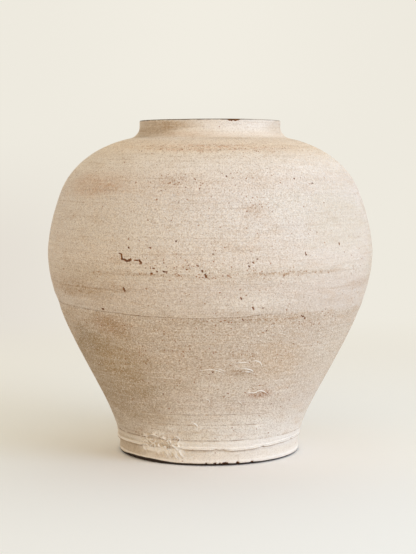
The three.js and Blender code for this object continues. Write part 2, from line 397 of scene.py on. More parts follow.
def smearedSlip(points, azimuth):
    # the lip pushed flat by a hand at the front left: curled folds above, wiped strokes below them
    height = points[:, 2]
    rise = np.clip((height - smear["low"]) / smear["lowFade"], 0, 1)
    rise = rise * np.clip((smear["high"] - height) / smear["highFade"], 0, 1)
    amount = smearAmount(azimuth) * rise
    shape, shade = np.zeros(len(points)), np.zeros(len(points))
    close = amount > 0
    if not close.any():
        return shape, shade
    near = points[close]
    lower = np.clip((smear["strokesBelow"] - near[:, 2]) / smear["lowFade"], 0, 1)
    bend = np.column_stack([grainNoise(near, smear["bendSize"], seed) for seed in smear["bendSeeds"]])
    fold = grainNoise(near + smear["bend"] * bend, smear["foldSize"], 7.7)
    (level, fall), (through, down) = smear["slant"], smear["stretch"]
    slanted = np.column_stack((near[:, 0] * level + near[:, 2] * fall, near[:, 1] * through,
                               (near[:, 2] * level - near[:, 0] * fall) * down))
    stroke = grainNoise(slanted, smear["strokeSize"], 41.0)
    stroke *= stretchOf(azimuth[close], smear["strokeFrom"], smear["strokeTo"], smear["strokeFade"])
    patchy = smear["patchMean"] + smear["patchSwing"] * grainNoise(near, smear["patchSize"], 71.0)
    patchy = patchy.clip(0, 1)
    lumps = grainNoise(near, smear["lumpSize"], 17.0)
    lumps += smear["fineLumpShare"] * grainNoise(near, smear["fineLumpSize"], 31.0)
    raised = (smear["strokeGain"] * stroke).clip(0, smear["strokeCrest"])
    crests = patchy * (hump(fold, 0, smear["crestHalf"]) * (1 - lower) + raised * lower)
    sunk = (-smear["strokeGain"] * stroke).clip(0, smear["strokeCrease"])
    creases = hump(fold, smear["creaseAt"], smear["creaseHalf"]) * (1 - lower)
    creases = patchy * (creases + sunk * lower)
    shape[close] = smear["lumps"] * lumps.clip(smear["lumpLowest"], 1)
    shape[close] += smear["crests"] * crests - smear["creases"] * creases
    # painted highlight on the crests and painted shade in the creases
    shade[close] = smear["paler"] * crests - smear["browner"] * creases
    return shape * amount, shade * amount


def lineNear(line, points, azimuth, half):
    # 1 on a scored line, falling to 0 beside it and at its two ends
    height, _, _, start, end, drop = line
    middle = (azimuth - start) / (end - start) - 0.5
    wander = scoring["wander"] * np.sin(np.radians(azimuth) * scoring["waves"] + 1.0)
    centre = height - drop * 2 * middle + wander * (height > scoring["wanderAbove"])
    near = hump(points[:, 2], centre, half)
    return near if end - start >= 360 else near * stretchOf(azimuth, start, end)


def skinRelief(points, azimuth):
    # how far the skin stands out of the true outline, and how far out of its close surroundings, which the
    # coats paint as highlight and shade
    around = surface["ringLength"]
    relief = surface["wobble"] * grainNoise(points, surface["wobbleSize"], 3.1)
    relief += surface["rings"] * grainNoise(points, (around, around, surface["ringRise"]), 11.7)
    relief += surface["fineRings"] * grainNoise(points, (around, around, surface["fineRingRise"]), 5.3)
    relief += surface["stucco"] * grainNoise(points, surface["stuccoSize"], 0.4)
    folded, close = smearedSlip(points, azimuth)
    relief += folded
    ragged = 0.75 + 0.6 * grainNoise(points, scoring["raggedSize"], 2.9)
    # scored lines are sunk, and are also painted browner, as painted shade in the groove
    for line in scoredLines:
        depth, half = line[1:3]
        close -= depth * lineNear(line, points, azimuth, half) * ragged
    close += strandShade(points)
    return relief + close, close


def distanceToRun(points, places):
    # how far each point is from a run of straight strokes
    away = np.full(len(points), 1.0)
    for start, end in zip(places, places[1:]):
        stroke = end - start
        share = np.clip((points - start) @ stroke / (stroke @ stroke), 0, 1)
        away = np.minimum(away, np.linalg.norm(points - start - share[:, None] * stroke, axis=1))
    return away


# The skin sinks a little along the lower side of each strand of slip, and is painted browner there as painted
# shade
strandHollow = {"depth": 0.00035, "depthByFoot": 0.00036, "below": 1.3, "half": 1.1, "reach": 0.005,
                "within": 0.05}
byFoot = 0.06  # up to this height the strands belong to the foot


def strandShade(points):
    shade = np.zeros(len(points))
    for *run, half in strands:
        places = [np.array(onSkin(*place)) for place in run]
        heights = [place[2] for place in places]
        low, high = min(heights) - strandHollow["reach"], max(heights) + strandHollow["reach"]
        close = (points[:, 2] > low) & (points[:, 2] < high)
        close[close] = np.linalg.norm(points[close] - places[0], axis=1) < strandHollow["within"]
        if close.any():
            away = distanceToRun(points[close] + np.array([0, 0, half * strandHollow["below"]]), places)
            depth = strandHollow["depthByFoot" if heights[0] < byFoot else "depth"]
            shade[close] = np.minimum(shade[close], -depth * hump(away, 0, half * strandHollow["half"]))
    return shade


def leanOf(heights):
    # the foot sits a little to the left of the belly
    share = np.clip(1 - heights / surface["footLeanUpTo"], 0, 1)
    return surface["footLean"] * share * share * (3 - 2 * share)


# Places where pits and specks crowd: azimuth, height, half width, half height and how thickly
speckCrowds = (
    (-8, 0.2275, 0.110, 0.0050, 0.9), (18, 0.2285, 0.080, 0.0055, 0.65), (-8, 0.2380, 0.055, 0.0080, 0.8),
    (-14, 0.3280, 0.030, 0.0080, 0.9), (8, 0.3650, 0.100, 0.0050, 0.8), (32, 0.3655, 0.070, 0.0045, 0.8),
    (15, 0.2960, 0.022, 0.0110, 0.7), (58, 0.2270, 0.016, 0.0040, 0.9), (2, 0.2700, 0.030, 0.0160, 0.3),
    (15, 0.1770, 0.090, 0.0050, 0.7), (38, 0.1700, 0.018, 0.0090, 0.9), (25, 0.0870, 0.018, 0.0045, 0.8),
    (0, 0.1400, 0.120, 0.0500, 0.25), (-52, 0.1500, 0.050, 0.0220, 0.25), (4, 0.3330, 0.120, 0.0060, 0.3),
    (140, 0.2300, 0.100, 0.0080, 0.8), (-125, 0.3300, 0.090, 0.0120, 0.6), (170, 0.3650, 0.120, 0.0060, 0.8),
    (-150, 0.1700, 0.100, 0.0100, 0.7), (110, 0.0900, 0.060, 0.0150, 0.5),
)


def crowding(points):
    most = np.full(len(points), 0.0)
    for turn, height, across, up, weight in speckCrowds:
        away = points - np.array(onSkin(turn, height))
        far = np.hypot(away[:, 0], away[:, 1]) / across
        near = np.exp(-((far ** 2 + (away[:, 2] / up) ** 2) ** 1.3))
        most = np.maximum(most, near * weight)
    return most


# Chips of the coat: how deep the coat is gone, how soft and how ragged their edges are
chips = {"depth": 0.00045, "edge": 0.0005, "bareEdge": 0.0016, "ragged": 0.0009, "raggedSize": 0.0019,
         "raggedWithin": 0.003, "reach": 0.0021, "cuts": 4, "grow": 0.00008}


def chipField(points, nicks):
    # distance from each point to the nearest chip's edge, below nought inside the chip
    field = np.full(len(points), 1.0)
    for *ends, half in nicks:
        places = [np.array(onSkin(*ends[:2])), np.array(onSkin(*ends[2:]))]
        field = np.minimum(field, distanceToRun(points, places) - half - chips["grow"])
    near = field < chips["raggedWithin"]
    field[near] += chips["ragged"] * grainNoise(points[near], chips["raggedSize"], 21.0)
    return field


def spotsOf(elements, kind):
    # the places of a mesh's points ("co") or the middles of its faces ("center"), one row each
    spots = np.empty(len(elements) * 3, np.float32)
    elements.foreach_get(kind, spots)
    return spots.reshape(-1, 3).astype(float)


def keepValue(mesh, name, values):
    # a value for each point of the mesh, which the coats read
    mesh.attributes.new(name, "FLOAT", "POINT").data.foreach_set("value", np.array(values, np.float32))


def refineWhere(piece, chooser, cuts):
    # cuts some faces of the skin finer, so that small marks have a shape of their own
    mesh = piece.data
    centres = spotsOf(mesh.polygons, "center")
    away = np.abs(np.hypot(centres[:, 0], centres[:, 1]) - skinRadius(centres[:, 2]))
    near = away < surface["refineWithin"]
    near[near] = chooser(centres[near])
    if not near.any():
        return
    for elements in (mesh.vertices, mesh.edges):
        elements.foreach_set("select", np.zeros(len(elements), bool))
    mesh.polygons.foreach_set("select", near)
    bpy.context.tool_settings.mesh_select_mode = (False, False, True)
    bpy.ops.object.mode_set(mode="EDIT")
    bpy.ops.mesh.subdivide(number_cuts=cuts, quadcorner="INNERVERT")
    bpy.ops.object.mode_set(mode="OBJECT")
    bpy.context.tool_settings.mesh_select_mode = (True, False, False)


def markedPlaces(centres):
    # where a deep line or the smear crosses the skin
    azimuth, height = azimuthOf(centres), centres[:, 2]
    near = (azimuth > smear["from"]) & (azimuth < smear["to"])
    near &= (height > smear["low"]) & (height < smear["high"])
    for line in scoredLines:
        if line[1] > scoring["fineDeeperThan"]:
            near |= lineNear(line, centres, azimuth, scoring["fineHalf"]) > scoring["fineShare"]
    return near


def throwSkin(piece, shape=None, nicks=(), droop=None, within=0.00025):
    # moves the skin's own points, so that neighbouring pieces still meet face to face at their joints
    refineWhere(piece, markedPlaces, 1)
    if nicks:
        refineWhere(piece, lambda centres: chipField(centres, nicks) < chips["reach"], chips["cuts"])
    mesh = piece.data
    points = spotsOf(mesh.vertices, "co")
    height, radius, azimuth = points[:, 2], np.hypot(points[:, 0], points[:, 1]), azimuthOf(points)
    skin = np.abs(radius - skinRadius(height)) < within
    skinTangent = np.gradient(skinLine, axis=0)
    steep = np.interp(height, skinLine[:, 1], np.arctan2(skinTangent[:, 1], -skinTangent[:, 0]))
    relief, close = np.zeros(len(points)), np.zeros(len(points))
    relief[skin], close[skin] = skinRelief(points[skin], azimuth[skin])
    if nicks:
        field = chipField(points, nicks)
        relief -= chips["depth"] * np.clip(0.5 - field / chips["edge"], 0, 1) * skin
        keepValue(mesh, "bare", np.clip(0.5 - field / chips["bareEdge"], 0, 1))
    # the piece's own shape is also painted: paler where raised, as a painted highlight, and browner where
    # sunk, as painted shade
    if shape:
        raised = shape(points, azimuth, radius) * skin
        relief += raised
        close += raised
    lowered = droop(points, azimuth) * skin if droop else np.zeros(len(points))
    # the close relief, and painted shade where slip droops, which the coats paint paler or browner
    keepValue(mesh, "close", (close - surface["droopShade"] * lowered.clip(0)) * 1000)
    keepValue(mesh, "crowd", crowding(points))
    newRadius = radius + relief * np.sin(steep)
    newHeight = height + relief * np.cos(steep) * 0.5
    nearSeam = hump(height, seamJoint + slipCoat / 2, surface["seamReach"])
    newHeight += wandering(seamWander, azimuth) * nearSeam * skin
    nearLip = hump(height, surface["lipHeight"], surface["lipReach"])
    newHeight += wandering(lipWander, azimuth) * nearLip * skin - lowered
    ratio = np.where(radius > 1e-6, newRadius / np.maximum(radius, 1e-6), 1)
    points[:, 0] = points[:, 0] * ratio + leanOf(height)
    points[:, 1] *= ratio
    points[:, 2] = np.maximum(newHeight, np.minimum(height, surface["lowest"]))
    mesh.vertices.foreach_set("co", points.astype(np.float32).ravel())
    mesh.update()


def bareFaces(mesh):
    # bare clay shows on the inner faces below the neck, and on the edge the jar stands on
    centres = spotsOf(mesh.polygons, "center")
    depth = skinRadius(centres[:, 2]) - np.hypot(centres[:, 0], centres[:, 1])
    inner = (depth > surface["bareBehind"]) & (centres[:, 2] < neckRoot)
    return inner | (centres[:, 2] < footEdge[1][1])


def finishPiece(piece, node, materials, smoothAngle=35):
    # materials: the coat outside and, where there is a second one, the bare clay inside
    for material in materials:
        piece.data.materials.append(material)
    if len(materials) > 1:
        piece.data.polygons.foreach_set("material_index", bareFaces(piece.data).astype(np.int32))
    clearSelection()
    piece.select_set(True)
    bpy.context.view_layer.objects.active = piece
    bpy.ops.object.shade_smooth_by_angle(angle=math.radians(smoothAngle))
    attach(piece, "root")
    if node:
        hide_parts(node)
    print(piece.name, "made:", len(piece.data.loops) - 2 * len(piece.data.polygons), "triangles")
    return piece


def paint(code):
    # a colour written as it looks, such as e6d7c7, in linear values
    parts = [int(code[i:i + 2], 16) / 255 for i in (0, 2, 4)]
    return tuple(p / 12.92 if p <= 0.04045 else ((p + 0.055) / 1.055) ** 2.4 for p in parts) + (1.0,)


def addNode(tree, kind, wiring=None, **settings):
    made = tree.nodes.new(kind)
    for key, value in settings.items():
        setattr(made, key, value)
    for key, value in (wiring or {}).items():
        if isinstance(value, bpy.types.NodeSocket):
            tree.links.new(value, made.inputs[key])
        else:
            made.inputs[key].default_value = value
    return made


def maths(tree, operation, *values, clamp=False):
    made = addNode(tree, "ShaderNodeMath", dict(enumerate(values)), operation=operation, use_clamp=clamp)
    return made.outputs[0]


def vectors(tree, operation, *values):
    made = addNode(tree, "ShaderNodeVectorMath", dict(enumerate(values)), operation=operation)
    return made.outputs["Value" if operation in ("LENGTH", "DOT_PRODUCT", "DISTANCE") else "Vector"]


def rangeOf(tree, value, fromMin, fromMax, toMin=0.0, toMax=1.0):
    wiring = {"Value": value, "From Min": fromMin, "From Max": fromMax, "To Min": toMin, "To Max": toMax}
    made = addNode(tree, "ShaderNodeMapRange", wiring, interpolation_type="SMOOTHSTEP")
    return made.outputs["Result"]


def mixed(tree, share, first, second, blend="MIX"):
    made = addNode(tree, "ShaderNodeMix", data_type="RGBA", blend_type=blend)
    for socket, value in ((made.inputs[0], share), (made.inputs[6], first), (made.inputs[7], second)):
        if isinstance(value, bpy.types.NodeSocket):
            tree.links.new(value, socket)
        else:
            socket.default_value = value
    return made.outputs[2]


def noiseAt(tree, place, stretch, detail=2.0, roughness=0.5):
    # noise whose grain is one over the stretch, in metres, along x, y and z
    scaled = vectors(tree, "MULTIPLY", place, stretch)
    wiring = {"Vector": scaled, "Scale": 1.0, "Detail": detail, "Roughness": roughness}
    return addNode(tree, "ShaderNodeTexNoise", wiring).outputs["Fac"]


def swayAt(tree, place, stretch, detail, roughness, reach):
    # the same noise, spread over the reach and centred on nought
    return maths(tree, "MULTIPLY_ADD", noiseAt(tree, place, stretch, detail, roughness), reach, -reach / 2)


def bentPlace(tree, place, scale, reach):
    # the place, shifted by a fine noise, so that what follows it curls
    shift = addNode(tree, "ShaderNodeTexNoise", {"Vector": place, "Scale": scale}).outputs["Color"]
    return vectors(tree, "MULTIPLY_ADD", shift, (reach, reach, reach), place)


def attributeOf(tree, name):
    return addNode(tree, "ShaderNodeAttribute", attribute_name=name).outputs["Fac"]


def makeGroup(name, inputs, outputs):
    group = bpy.data.node_groups.new(name, "ShaderNodeTree")
    for label, kind, value in inputs:
        socket = group.interface.new_socket(label, in_out="INPUT", socket_type="NodeSocket" + kind)
        socket.default_value = value
    for label, kind in outputs:
        group.interface.new_socket(label, in_out="OUTPUT", socket_type="NodeSocket" + kind)
    entry = group.nodes.new("NodeGroupInput").outputs
    leaving = group.nodes.new("NodeGroupOutput").inputs
    return group, entry, leaving


def useGroup(tree, group, wiring):
    return addNode(tree, "ShaderNodeGroup", wiring, node_tree=group)


# Tones of the coat by height, from the foot to the rim, first measured in the photo and then adjusted
coatTones = (
    (0.000, "f5f1ea"), (0.006, "f2ede6"), (0.014, "eee8df"), (0.024, "f1ede7"), (0.036, "eee9e3"),
    (0.050, "e6dfd6"), (0.075, "dacec3"), (0.095, "d8cbbe"), (0.120, "cdbcab"), (0.150, "cbbbab"),
    (0.178, "ccbcac"), (0.186, "d6c9bd"), (0.212, "d9ccc1"), (0.230, "dcd1c5"), (0.242, "e1d6cc"),
    (0.280, "e3dbd4"), (0.312, "e4dcd6"), (0.330, "e6dbd2"), (0.345, "efe6dd"), (0.358, "efe2d4"),
    (0.367, "f0dcc6"), (0.377, "eedcca"), (0.386, "e8dfd4"), (0.400, "e2ddd7"),
)


def coatToneGroup():
    group, entry, leaving = makeGroup(
        "coatTone", (("Place", "Vector", (0, 0, 0)), ("Warmth", "Float", 0.5)), (("Color", "Color"),))
    place = entry["Place"]
    height = addNode(group, "ShaderNodeSeparateXYZ", {0: place}).outputs["Z"]
    wander = swayAt(group, place, (9, 9, 60), 3, 0.5, 0.016)
    share = maths(group, "DIVIDE", maths(group, "ADD", height, wander), rimHeight)
    ramp = addNode(group, "ShaderNodeValToRGB", {"Fac": share})
    stops = ramp.color_ramp.elements
    while len(stops) < len(coatTones):
        stops.new(0.5)
    for stop, (toneHeight, code) in zip(stops, coatTones):
        stop.position = toneHeight / rimHeight
        stop.color = paint(code)
    tone = ramp.outputs["Color"]
    mottle = rangeOf(group, noiseAt(group, place, (34, 34, 90), 5, 0.65), 0.46, 0.74)
    tone = mixed(group, maths(group, "MULTIPLY", mottle, entry["Warmth"]), tone, paint("c9ab8d"))
    streaks = noiseAt(group, place, (13, 13, 300), 4, 0.6)
    tone = mixed(group, rangeOf(group, streaks, 0.52, 0.76, 0, 0.30), tone, paint("e6dfd6"))
    tone = mixed(group, rangeOf(group, streaks, 0.46, 0.24, 0, 0.34), tone, paint("b79f86"))
    group.links.new(tone, leaving["Color"])
    return group


def slipGrainGroup():
    # the stucco grain of the coat: its height in metres, its crests, hollows and mottling, and its fine lines
    group, entry, leaving = makeGroup(
        "slipGrain",
        (("Place", "Vector", (0, 0, 0)), ("Relief", "Float", 0.0002), ("Brushing", "Float", 0.00004)),
        [(part, "Float") for part in ("Height", "Crests", "Hollows", "Mottling", "Lines")])
    place = entry["Place"]
    curls = noiseAt(group, bentPlace(group, place, 210.0, 0.003), (460, 460, 500), 1, 0.5)
    crests = maths(group, "ABSOLUTE", maths(group, "SUBTRACT", curls, 0.5))
    crests = rangeOf(group, crests, 0.11, 0.0)
    crumbs = noiseAt(group, place, (680, 680, 720), 1.5, 0.55)
    relief = maths(group, "MULTIPLY_ADD", crumbs, 0.9, maths(group, "MULTIPLY", crests, 0.55))
    lines = noiseAt(group, place, (13, 13, 640), 2, 0.5)
    height = maths(group, "MULTIPLY_ADD", lines, entry["Brushing"],
                   maths(group, "MULTIPLY", relief, entry["Relief"]))
    group.links.new(height, leaving["Height"])
    group.links.new(crests, leaving["Crests"])
    group.links.new(rangeOf(group, relief, 0.56, 0.34), leaving["Hollows"])
    group.links.new(noiseAt(group, place, (600, 600, 660), 1.5, 0.5), leaving["Mottling"])
    group.links.new(lines, leaving["Lines"])
    return group


def pitsGroup():
    # small pits and specks: Share is how many of the cells have one
    group, entry, leaving = makeGroup(
        "pits",
        (("Place", "Vector", (0, 0, 0)), ("Spacing", "Float", 120.0), ("Size", "Float", 0.12),
         ("Share", "Float", 0.3)),
        (("Mask", "Float"),))
    place = entry["Place"]
    bent = bentPlace(group, place, 520.0, 0.0024)
    cells = addNode(group, "ShaderNodeTexVoronoi", {"Vector": bent, "Scale": entry["Spacing"]})
    chance = addNode(group, "ShaderNodeSeparateColor", {0: cells.outputs["Color"]})
    chosen = maths(group, "LESS_THAN", chance.outputs[0], entry["Share"])
    size = maths(group, "MULTIPLY", entry["Size"], maths(group, "ADD", chance.outputs[1], 0.35))
    spot = rangeOf(group, cells.outputs["Distance"], size, maths(group, "MULTIPLY", size, 0.7))
    group.links.new(maths(group, "MULTIPLY", spot, chosen), leaving["Mask"])
    return group


def stainEdgeGroup():
    # what makes the stains of one coat ragged at the edge, and broken into speckle and streaks
    group, entry, leaving = makeGroup(
        "stainEdge", (("Place", "Vector", (0, 0, 0)),), (("Ragged", "Float"), ("Speckle", "Float")))
    place = entry["Place"]
    ragged = swayAt(group, place, (26, 26, 75), 5, 0.62, 1.3)
    speckle = rangeOf(group, noiseAt(group, place, (240, 240, 330), 3, 0.6), 0.40, 0.62)
    streaks = rangeOf(group, noiseAt(group, place, (18, 18, 300), 3, 0.6), 0.38, 0.60)
    group.links.new(ragged, leaving["Ragged"])
    group.links.new(maths(group, "MULTIPLY", speckle, maths(group, "MULTIPLY_ADD", streaks, 0.7, 0.3)),
                    leaving["Speckle"])
    return group


def blotGroup():
    # a stain round a place of the skin; Broken is how far it breaks up into speckle
    group, entry, leaving = makeGroup(
        "blot",
        (("Place", "Vector", (0, 0, 0)), ("Centre", "Vector", (0, 0, 0)), ("Across", "Float", 0.05),
         ("Up", "Float", 0.05), ("Strength", "Float", 1.0), ("Broken", "Float", 0.5),
         ("Ragged", "Float", 0.0), ("Speckle", "Float", 1.0)),
        (("Mask", "Float"),))
    away = vectors(group, "SUBTRACT", entry["Place"], entry["Centre"])
    sizes = addNode(group, "ShaderNodeCombineXYZ", {0: entry["Across"], 1: entry["Across"], 2: entry["Up"]})
    far = vectors(group, "LENGTH", vectors(group, "DIVIDE", away, sizes.outputs[0]))
    mask = rangeOf(group, maths(group, "ADD", far, entry["Ragged"]), 1.15, 0.25)
    gaps = maths(group, "MULTIPLY", entry["Broken"], maths(group, "SUBTRACT", 1.0, entry["Speckle"]))
    mask = maths(group, "MULTIPLY", mask, maths(group, "SUBTRACT", 1.0, gaps))
    group.links.new(maths(group, "MULTIPLY", mask, entry["Strength"]), leaving["Mask"])
    return group


coatTone = coatToneGroup()
slipGrain = slipGrainGroup()
pits = pitsGroup()
stainEdge = stainEdgeGroup()
blot = blotGroup()

# Stains and paler places of the coat, and one painted shade at the lower left: azimuth and height of the
# middle, half width, half height, tone, strength, and how far the stain is broken into speckle
upperStains = (
    (-48, 0.325, 0.070, 0.017, "cba88f", 0.75, 0.6),
    (-13, 0.329, 0.024, 0.008, "a97c56", 0.60, 1.0),
    (27, 0.305, 0.046, 0.024, "e4ddd3", 0.65, 0.3),
    (15, 0.296, 0.022, 0.012, "bf9d80", 0.60, 0.8),
    (54, 0.288, 0.090, 0.055, "d6cbb8", 0.60, 0.2),
    (-57, 0.208, 0.085, 0.012, "a3825b", 0.70, 0.7),
    (66, 0.211, 0.060, 0.008, "b59a82", 0.50, 0.6),
    (-24, 0.276, 0.085, 0.030, "e4ddd6", 0.60, 0.3),
    (2, 0.3660, 0.098, 0.0055, "c5854f", 0.66, 1.0),
    (-18, 0.2274, 0.120, 0.0026, "a17c55", 0.75, 0.9),
    (30, 0.2282, 0.090, 0.0030, "a17c55", 0.75, 0.9),
    (-38, 0.2090, 0.095, 0.0026, "a88561", 0.70, 0.8),
    (14, 0.1970, 0.060, 0.012, "e8dfd5", 0.75, 0.3),
    (-48, 0.214, 0.070, 0.030, "a98a62", 0.32, 0.3),
    (80, 0.240, 0.055, 0.070, "cdc0ad", 0.45, 0.2),
    (150, 0.300, 0.110, 0.060, "dcd6d0", 0.70, 0.3),
    (-140, 0.240, 0.110, 0.040, "c6ae98", 0.60, 0.6),
)
lowerStains = (
    (38, 0.170, 0.015, 0.007, "946b43", 0.60, 0.9),
    (-56, 0.145, 0.046, 0.022, "8a7458", 0.85, 0.4),
    (-40, 0.165, 0.036, 0.018, "a97e5c", 0.70, 0.4),
    # a painted shade over the lower left of the wall, the side away from the lamp
    (-61, 0.095, 0.120, 0.090, "957c57", 0.80, 0.2),
    (12, 0.1770, 0.120, 0.0042, "9a7650", 0.70, 1.0),
    (13, 0.1145, 0.022, 0.0045, "92693b", 0.75, 0.6),
    (25, 0.0868, 0.022, 0.0065, "96581c", 0.90, 0.5),
    (16, 0.0765, 0.006, 0.0040, "8c5f36", 0.70, 0.7),
    (0, 0.0780, 0.006, 0.0080, "9c7248", 0.60, 0.7),
    (-6, 0.036, 0.036, 0.009, "e6dfd2", 0.60, 0.2),
    (28, 0.043, 0.070, 0.016, "ece7e1", 0.60, 0.3),
    (-42, 0.126, 0.050, 0.060, "a98b5d", 0.46, 0.2),
    (16, 0.052, 0.045, 0.011, "f0ebe4", 0.55, 0.3),
    (30, 0.128, 0.046, 0.030, "cfb08d", 0.45, 0.4),
    (6, 0.096, 0.040, 0.020, "d9cfc2", 0.50, 0.5),
    (62, 0.130, 0.075, 0.050, "e2d8c9", 0.45, 0.3),
    (160, 0.110, 0.080, 0.045, "b49c82", 0.60, 0.5),
    (-150, 0.060, 0.070, 0.035, "d2c8bc", 0.60, 0.3),
)
footStains = (
    (-31, 0.023, 0.032, 0.018, "cdb698", 0.60, 0.3),
    (-4, 0.031, 0.036, 0.009, "e6dfd2", 0.60, 0.2),
    (-66, 0.014, 0.058, 0.030, "b5a185", 0.65, 0.2),
    (40, 0.024, 0.075, 0.010, "f1eeeb", 0.60, 0.2),
)

# Nicks that bare the brown body: azimuth and height of the two ends of each stroke, and its half width
upperNicks = (
    (-29.8, 0.2490, -29.5, 0.2445, 0.0010), (-29.5, 0.2440, -27.6, 0.2418, 0.0012),
    (-27.6, 0.2412, -26.3, 0.2436, 0.0013), (-25.0, 0.2426, -23.8, 0.2428, 0.0008),
    (-23.2, 0.2424, -22.5, 0.2402, 0.0012), (-27.2, 0.2566, -27.1, 0.2560, 0.0010),
    (-19.9, 0.2571, -19.5, 0.2568, 0.0009), (-30.7, 0.2500, -30.4, 0.2494, 0.0008),
    (-29.7, 0.2112, -29.2, 0.2072, 0.0011), (-40.8, 0.1848, -40.3, 0.1844, 0.0013),
    (-18.4, 0.2346, -18.1, 0.2342, 0.0007), (-19.2, 0.2290, -19.0, 0.2287, 0.0011),
    (-17.2, 0.2312, -17.0, 0.2310, 0.0008), (-15.1, 0.2318, -14.7, 0.2306, 0.0010),
    (-14.0, 0.2308, -13.8, 0.2300, 0.0008), (-7.6, 0.2340, -7.4, 0.2337, 0.0008),
    (-4.2, 0.2382, -3.9, 0.2380, 0.0008), (-2.6, 0.2324, -2.3, 0.2304, 0.0008),
    (-1.6, 0.2282, -1.3, 0.2258, 0.0012), (0.9, 0.2504, 1.0, 0.2502, 0.0006),
    (13.6, 0.2410, 13.9, 0.2407, 0.0006), (15.0, 0.2450, 15.2, 0.2448, 0.0005),
    (12.2, 0.2376, 12.5, 0.2364, 0.0007), (32.3, 0.2508, 32.6, 0.2478, 0.0007),
    (47.9, 0.2592, 48.3, 0.2566, 0.0006), (14.4, 0.1912, 14.8, 0.1888, 0.0008),
    (10.1, 0.2024, 10.3, 0.2006, 0.0007), (17.8, 0.1898, 18.2, 0.1896, 0.0007),
    (5.9, 0.3344, 6.1, 0.3342, 0.0007), (41.0, 0.3264, 41.2, 0.3262, 0.0008),
    (-11.2, 0.2642, -11.0, 0.2640, 0.0006), (130.0, 0.2600, 132.0, 0.2580, 0.0012),
    (-110.0, 0.3000, -109.0, 0.2970, 0.0011), (175.0, 0.2200, 177.0, 0.2206, 0.0012),
)
lowerNicks = (
    (34.0, 0.1784, 34.8, 0.1770, 0.0007), (35.4, 0.1760, 36.0, 0.1742, 0.0007),
    (11.1, 0.1796, 11.4, 0.1770, 0.0006), (0.4, 0.1168, 1.4, 0.1162, 0.0007),
    (120.0, 0.1300, 122.0, 0.1290, 0.0012), (-130.0, 0.0900, -129.0, 0.0880, 0.0012),
)
collarNicks = (
    (15.0, 0.3994, 23.0, 0.3996, 0.0017), (14.5, 0.3986, 17.0, 0.3983, 0.0011),
    (19.0, 0.3986, 21.0, 0.3982, 0.0011), (10.0, 0.3999, 28.0, 0.4001, 0.0007),
)
footNicks = (
    (3.2, 0.0026, 4.0, 0.0026, 0.0011), (6.4, 0.0022, 7.0, 0.0022, 0.0008),
    (8.8, 0.0028, 10.0, 0.0028, 0.0015), (10.8, 0.0024, 11.4, 0.0024, 0.0009),
    (17.4, 0.0030, 18.2, 0.0030, 0.0013), (27.0, 0.0022, 27.8, 0.0022, 0.0008),
    (-2.0, 0.0022, -1.2, 0.0022, 0.0008), (100.0, 0.0030, 102.0, 0.0030, 0.0015),
    (-160.0, 0.0030, -158.0, 0.0030, 0.0015),
)


# What the grain brings out of a coat: the part of the grain, from where to where, how much, and the tone. The
# crests are painted paler as a painted highlight, the hollows browner as painted shade
grainTones = (
    ("Mottling", 0.50, 0.68, "mottling", "f8f0e4"), ("Mottling", 0.50, 0.32, "mottling", "9c7d58"),
    ("Crests", 0.10, 0.90, "crests", "f8f0e4"), ("Hollows", 0.00, 1.00, "hollows", "93744f"),
    ("Lines", 0.56, 0.72, "lines", "f4ede4"), ("Lines", 0.42, 0.26, "lines", "9f8468"),
)
# The grain shows less at the right, and low on the foot
calmer = {"rightFrom": 0.040, "rightTo": 0.150, "footTo": 0.030, "footFrom": 0.080, "foot": 0.75}
# Specks and popped places of a coat, which bare the brown body
pitted = {
    "speckSpacing": 420.0, "speckSize": 0.36, "speckCrowd": 0.80, "speckAmount": 0.78, "speckTone": "925c2e",
    "poppedSpacing": 190.0, "poppedSize": 0.17, "poppedCrowd": 0.42, "poppedAmount": 0.94, "depth": 0.00016,
    "fray": 0.6, "bareFrom": 0.46, "bareTo": 0.60, "coreFrom": 0.60, "coreTo": 0.95, "coreAmount": 0.60,
    "bodyDark": "6b3a14", "bodyPale": "a3662e", "core": "3b1d08",
}
# Wear of the rim's outer edge, and the painted contact shadow along the foot's lower edge, thicker at the
# left, in metres from the rim, the neck and the floor
rimWear = {"from": 0.0018, "to": 0.0008, "fray": 0.0026, "outerFrom": 0.0046, "outerTo": 0.0024,
           "outerFray": 0.009, "rightFrom": 0.012, "rightTo": 0.060, "right": 0.45, "tone": "54412d"}
footWear = {"from": 0.0033, "to": 0.0026, "fray": 0.0008, "left": -0.0018, "right": 0.0008,
            "leftFrom": -0.040, "leftTo": -0.072, "leftEndFrom": -0.106, "leftEndTo": -0.094,
            "rightFrom": 0.020, "rightTo": 0.090, "tone": "241208"}


def stained(tree, place, colour, stains):
    edges = useGroup(tree, stainEdge, {"Place": place}).outputs
    for turn, height, across, up, tone, strength, broken in stains:
        wiring = {"Place": place, "Centre": onSkin(turn, height), "Across": across, "Up": up,
                  "Strength": strength, "Broken": broken, "Ragged": edges["Ragged"],
                  "Speckle": edges["Speckle"]}
        colour = mixed(tree, useGroup(tree, blot, wiring).outputs["Mask"], colour, paint(tone))
    return colour


def rimWorn(tree, place, sideways, height):
    level = maths(tree, "ADD", height, swayAt(tree, place, (120, 120, 120), 4, 0.7, rimWear["fray"]))
    worn = rangeOf(tree, level, rimHeight - rimWear["from"], rimHeight - rimWear["to"])
    radius = vectors(tree, "LENGTH", vectors(tree, "MULTIPLY", place, (1, 1, 0)))
    radius = maths(tree, "ADD", radius, swayAt(tree, place, (90, 90, 90), 4, 0.65, rimWear["outerFray"]))
    outer = rangeOf(tree, radius, wall["neckRadius"] - rimWear["outerFrom"],
                    wall["neckRadius"] - rimWear["outerTo"])
    right = rangeOf(tree, sideways, rimWear["rightFrom"], rimWear["rightTo"], 1.0, rimWear["right"])
    return maths(tree, "MULTIPLY", maths(tree, "MULTIPLY", worn, outer), right)
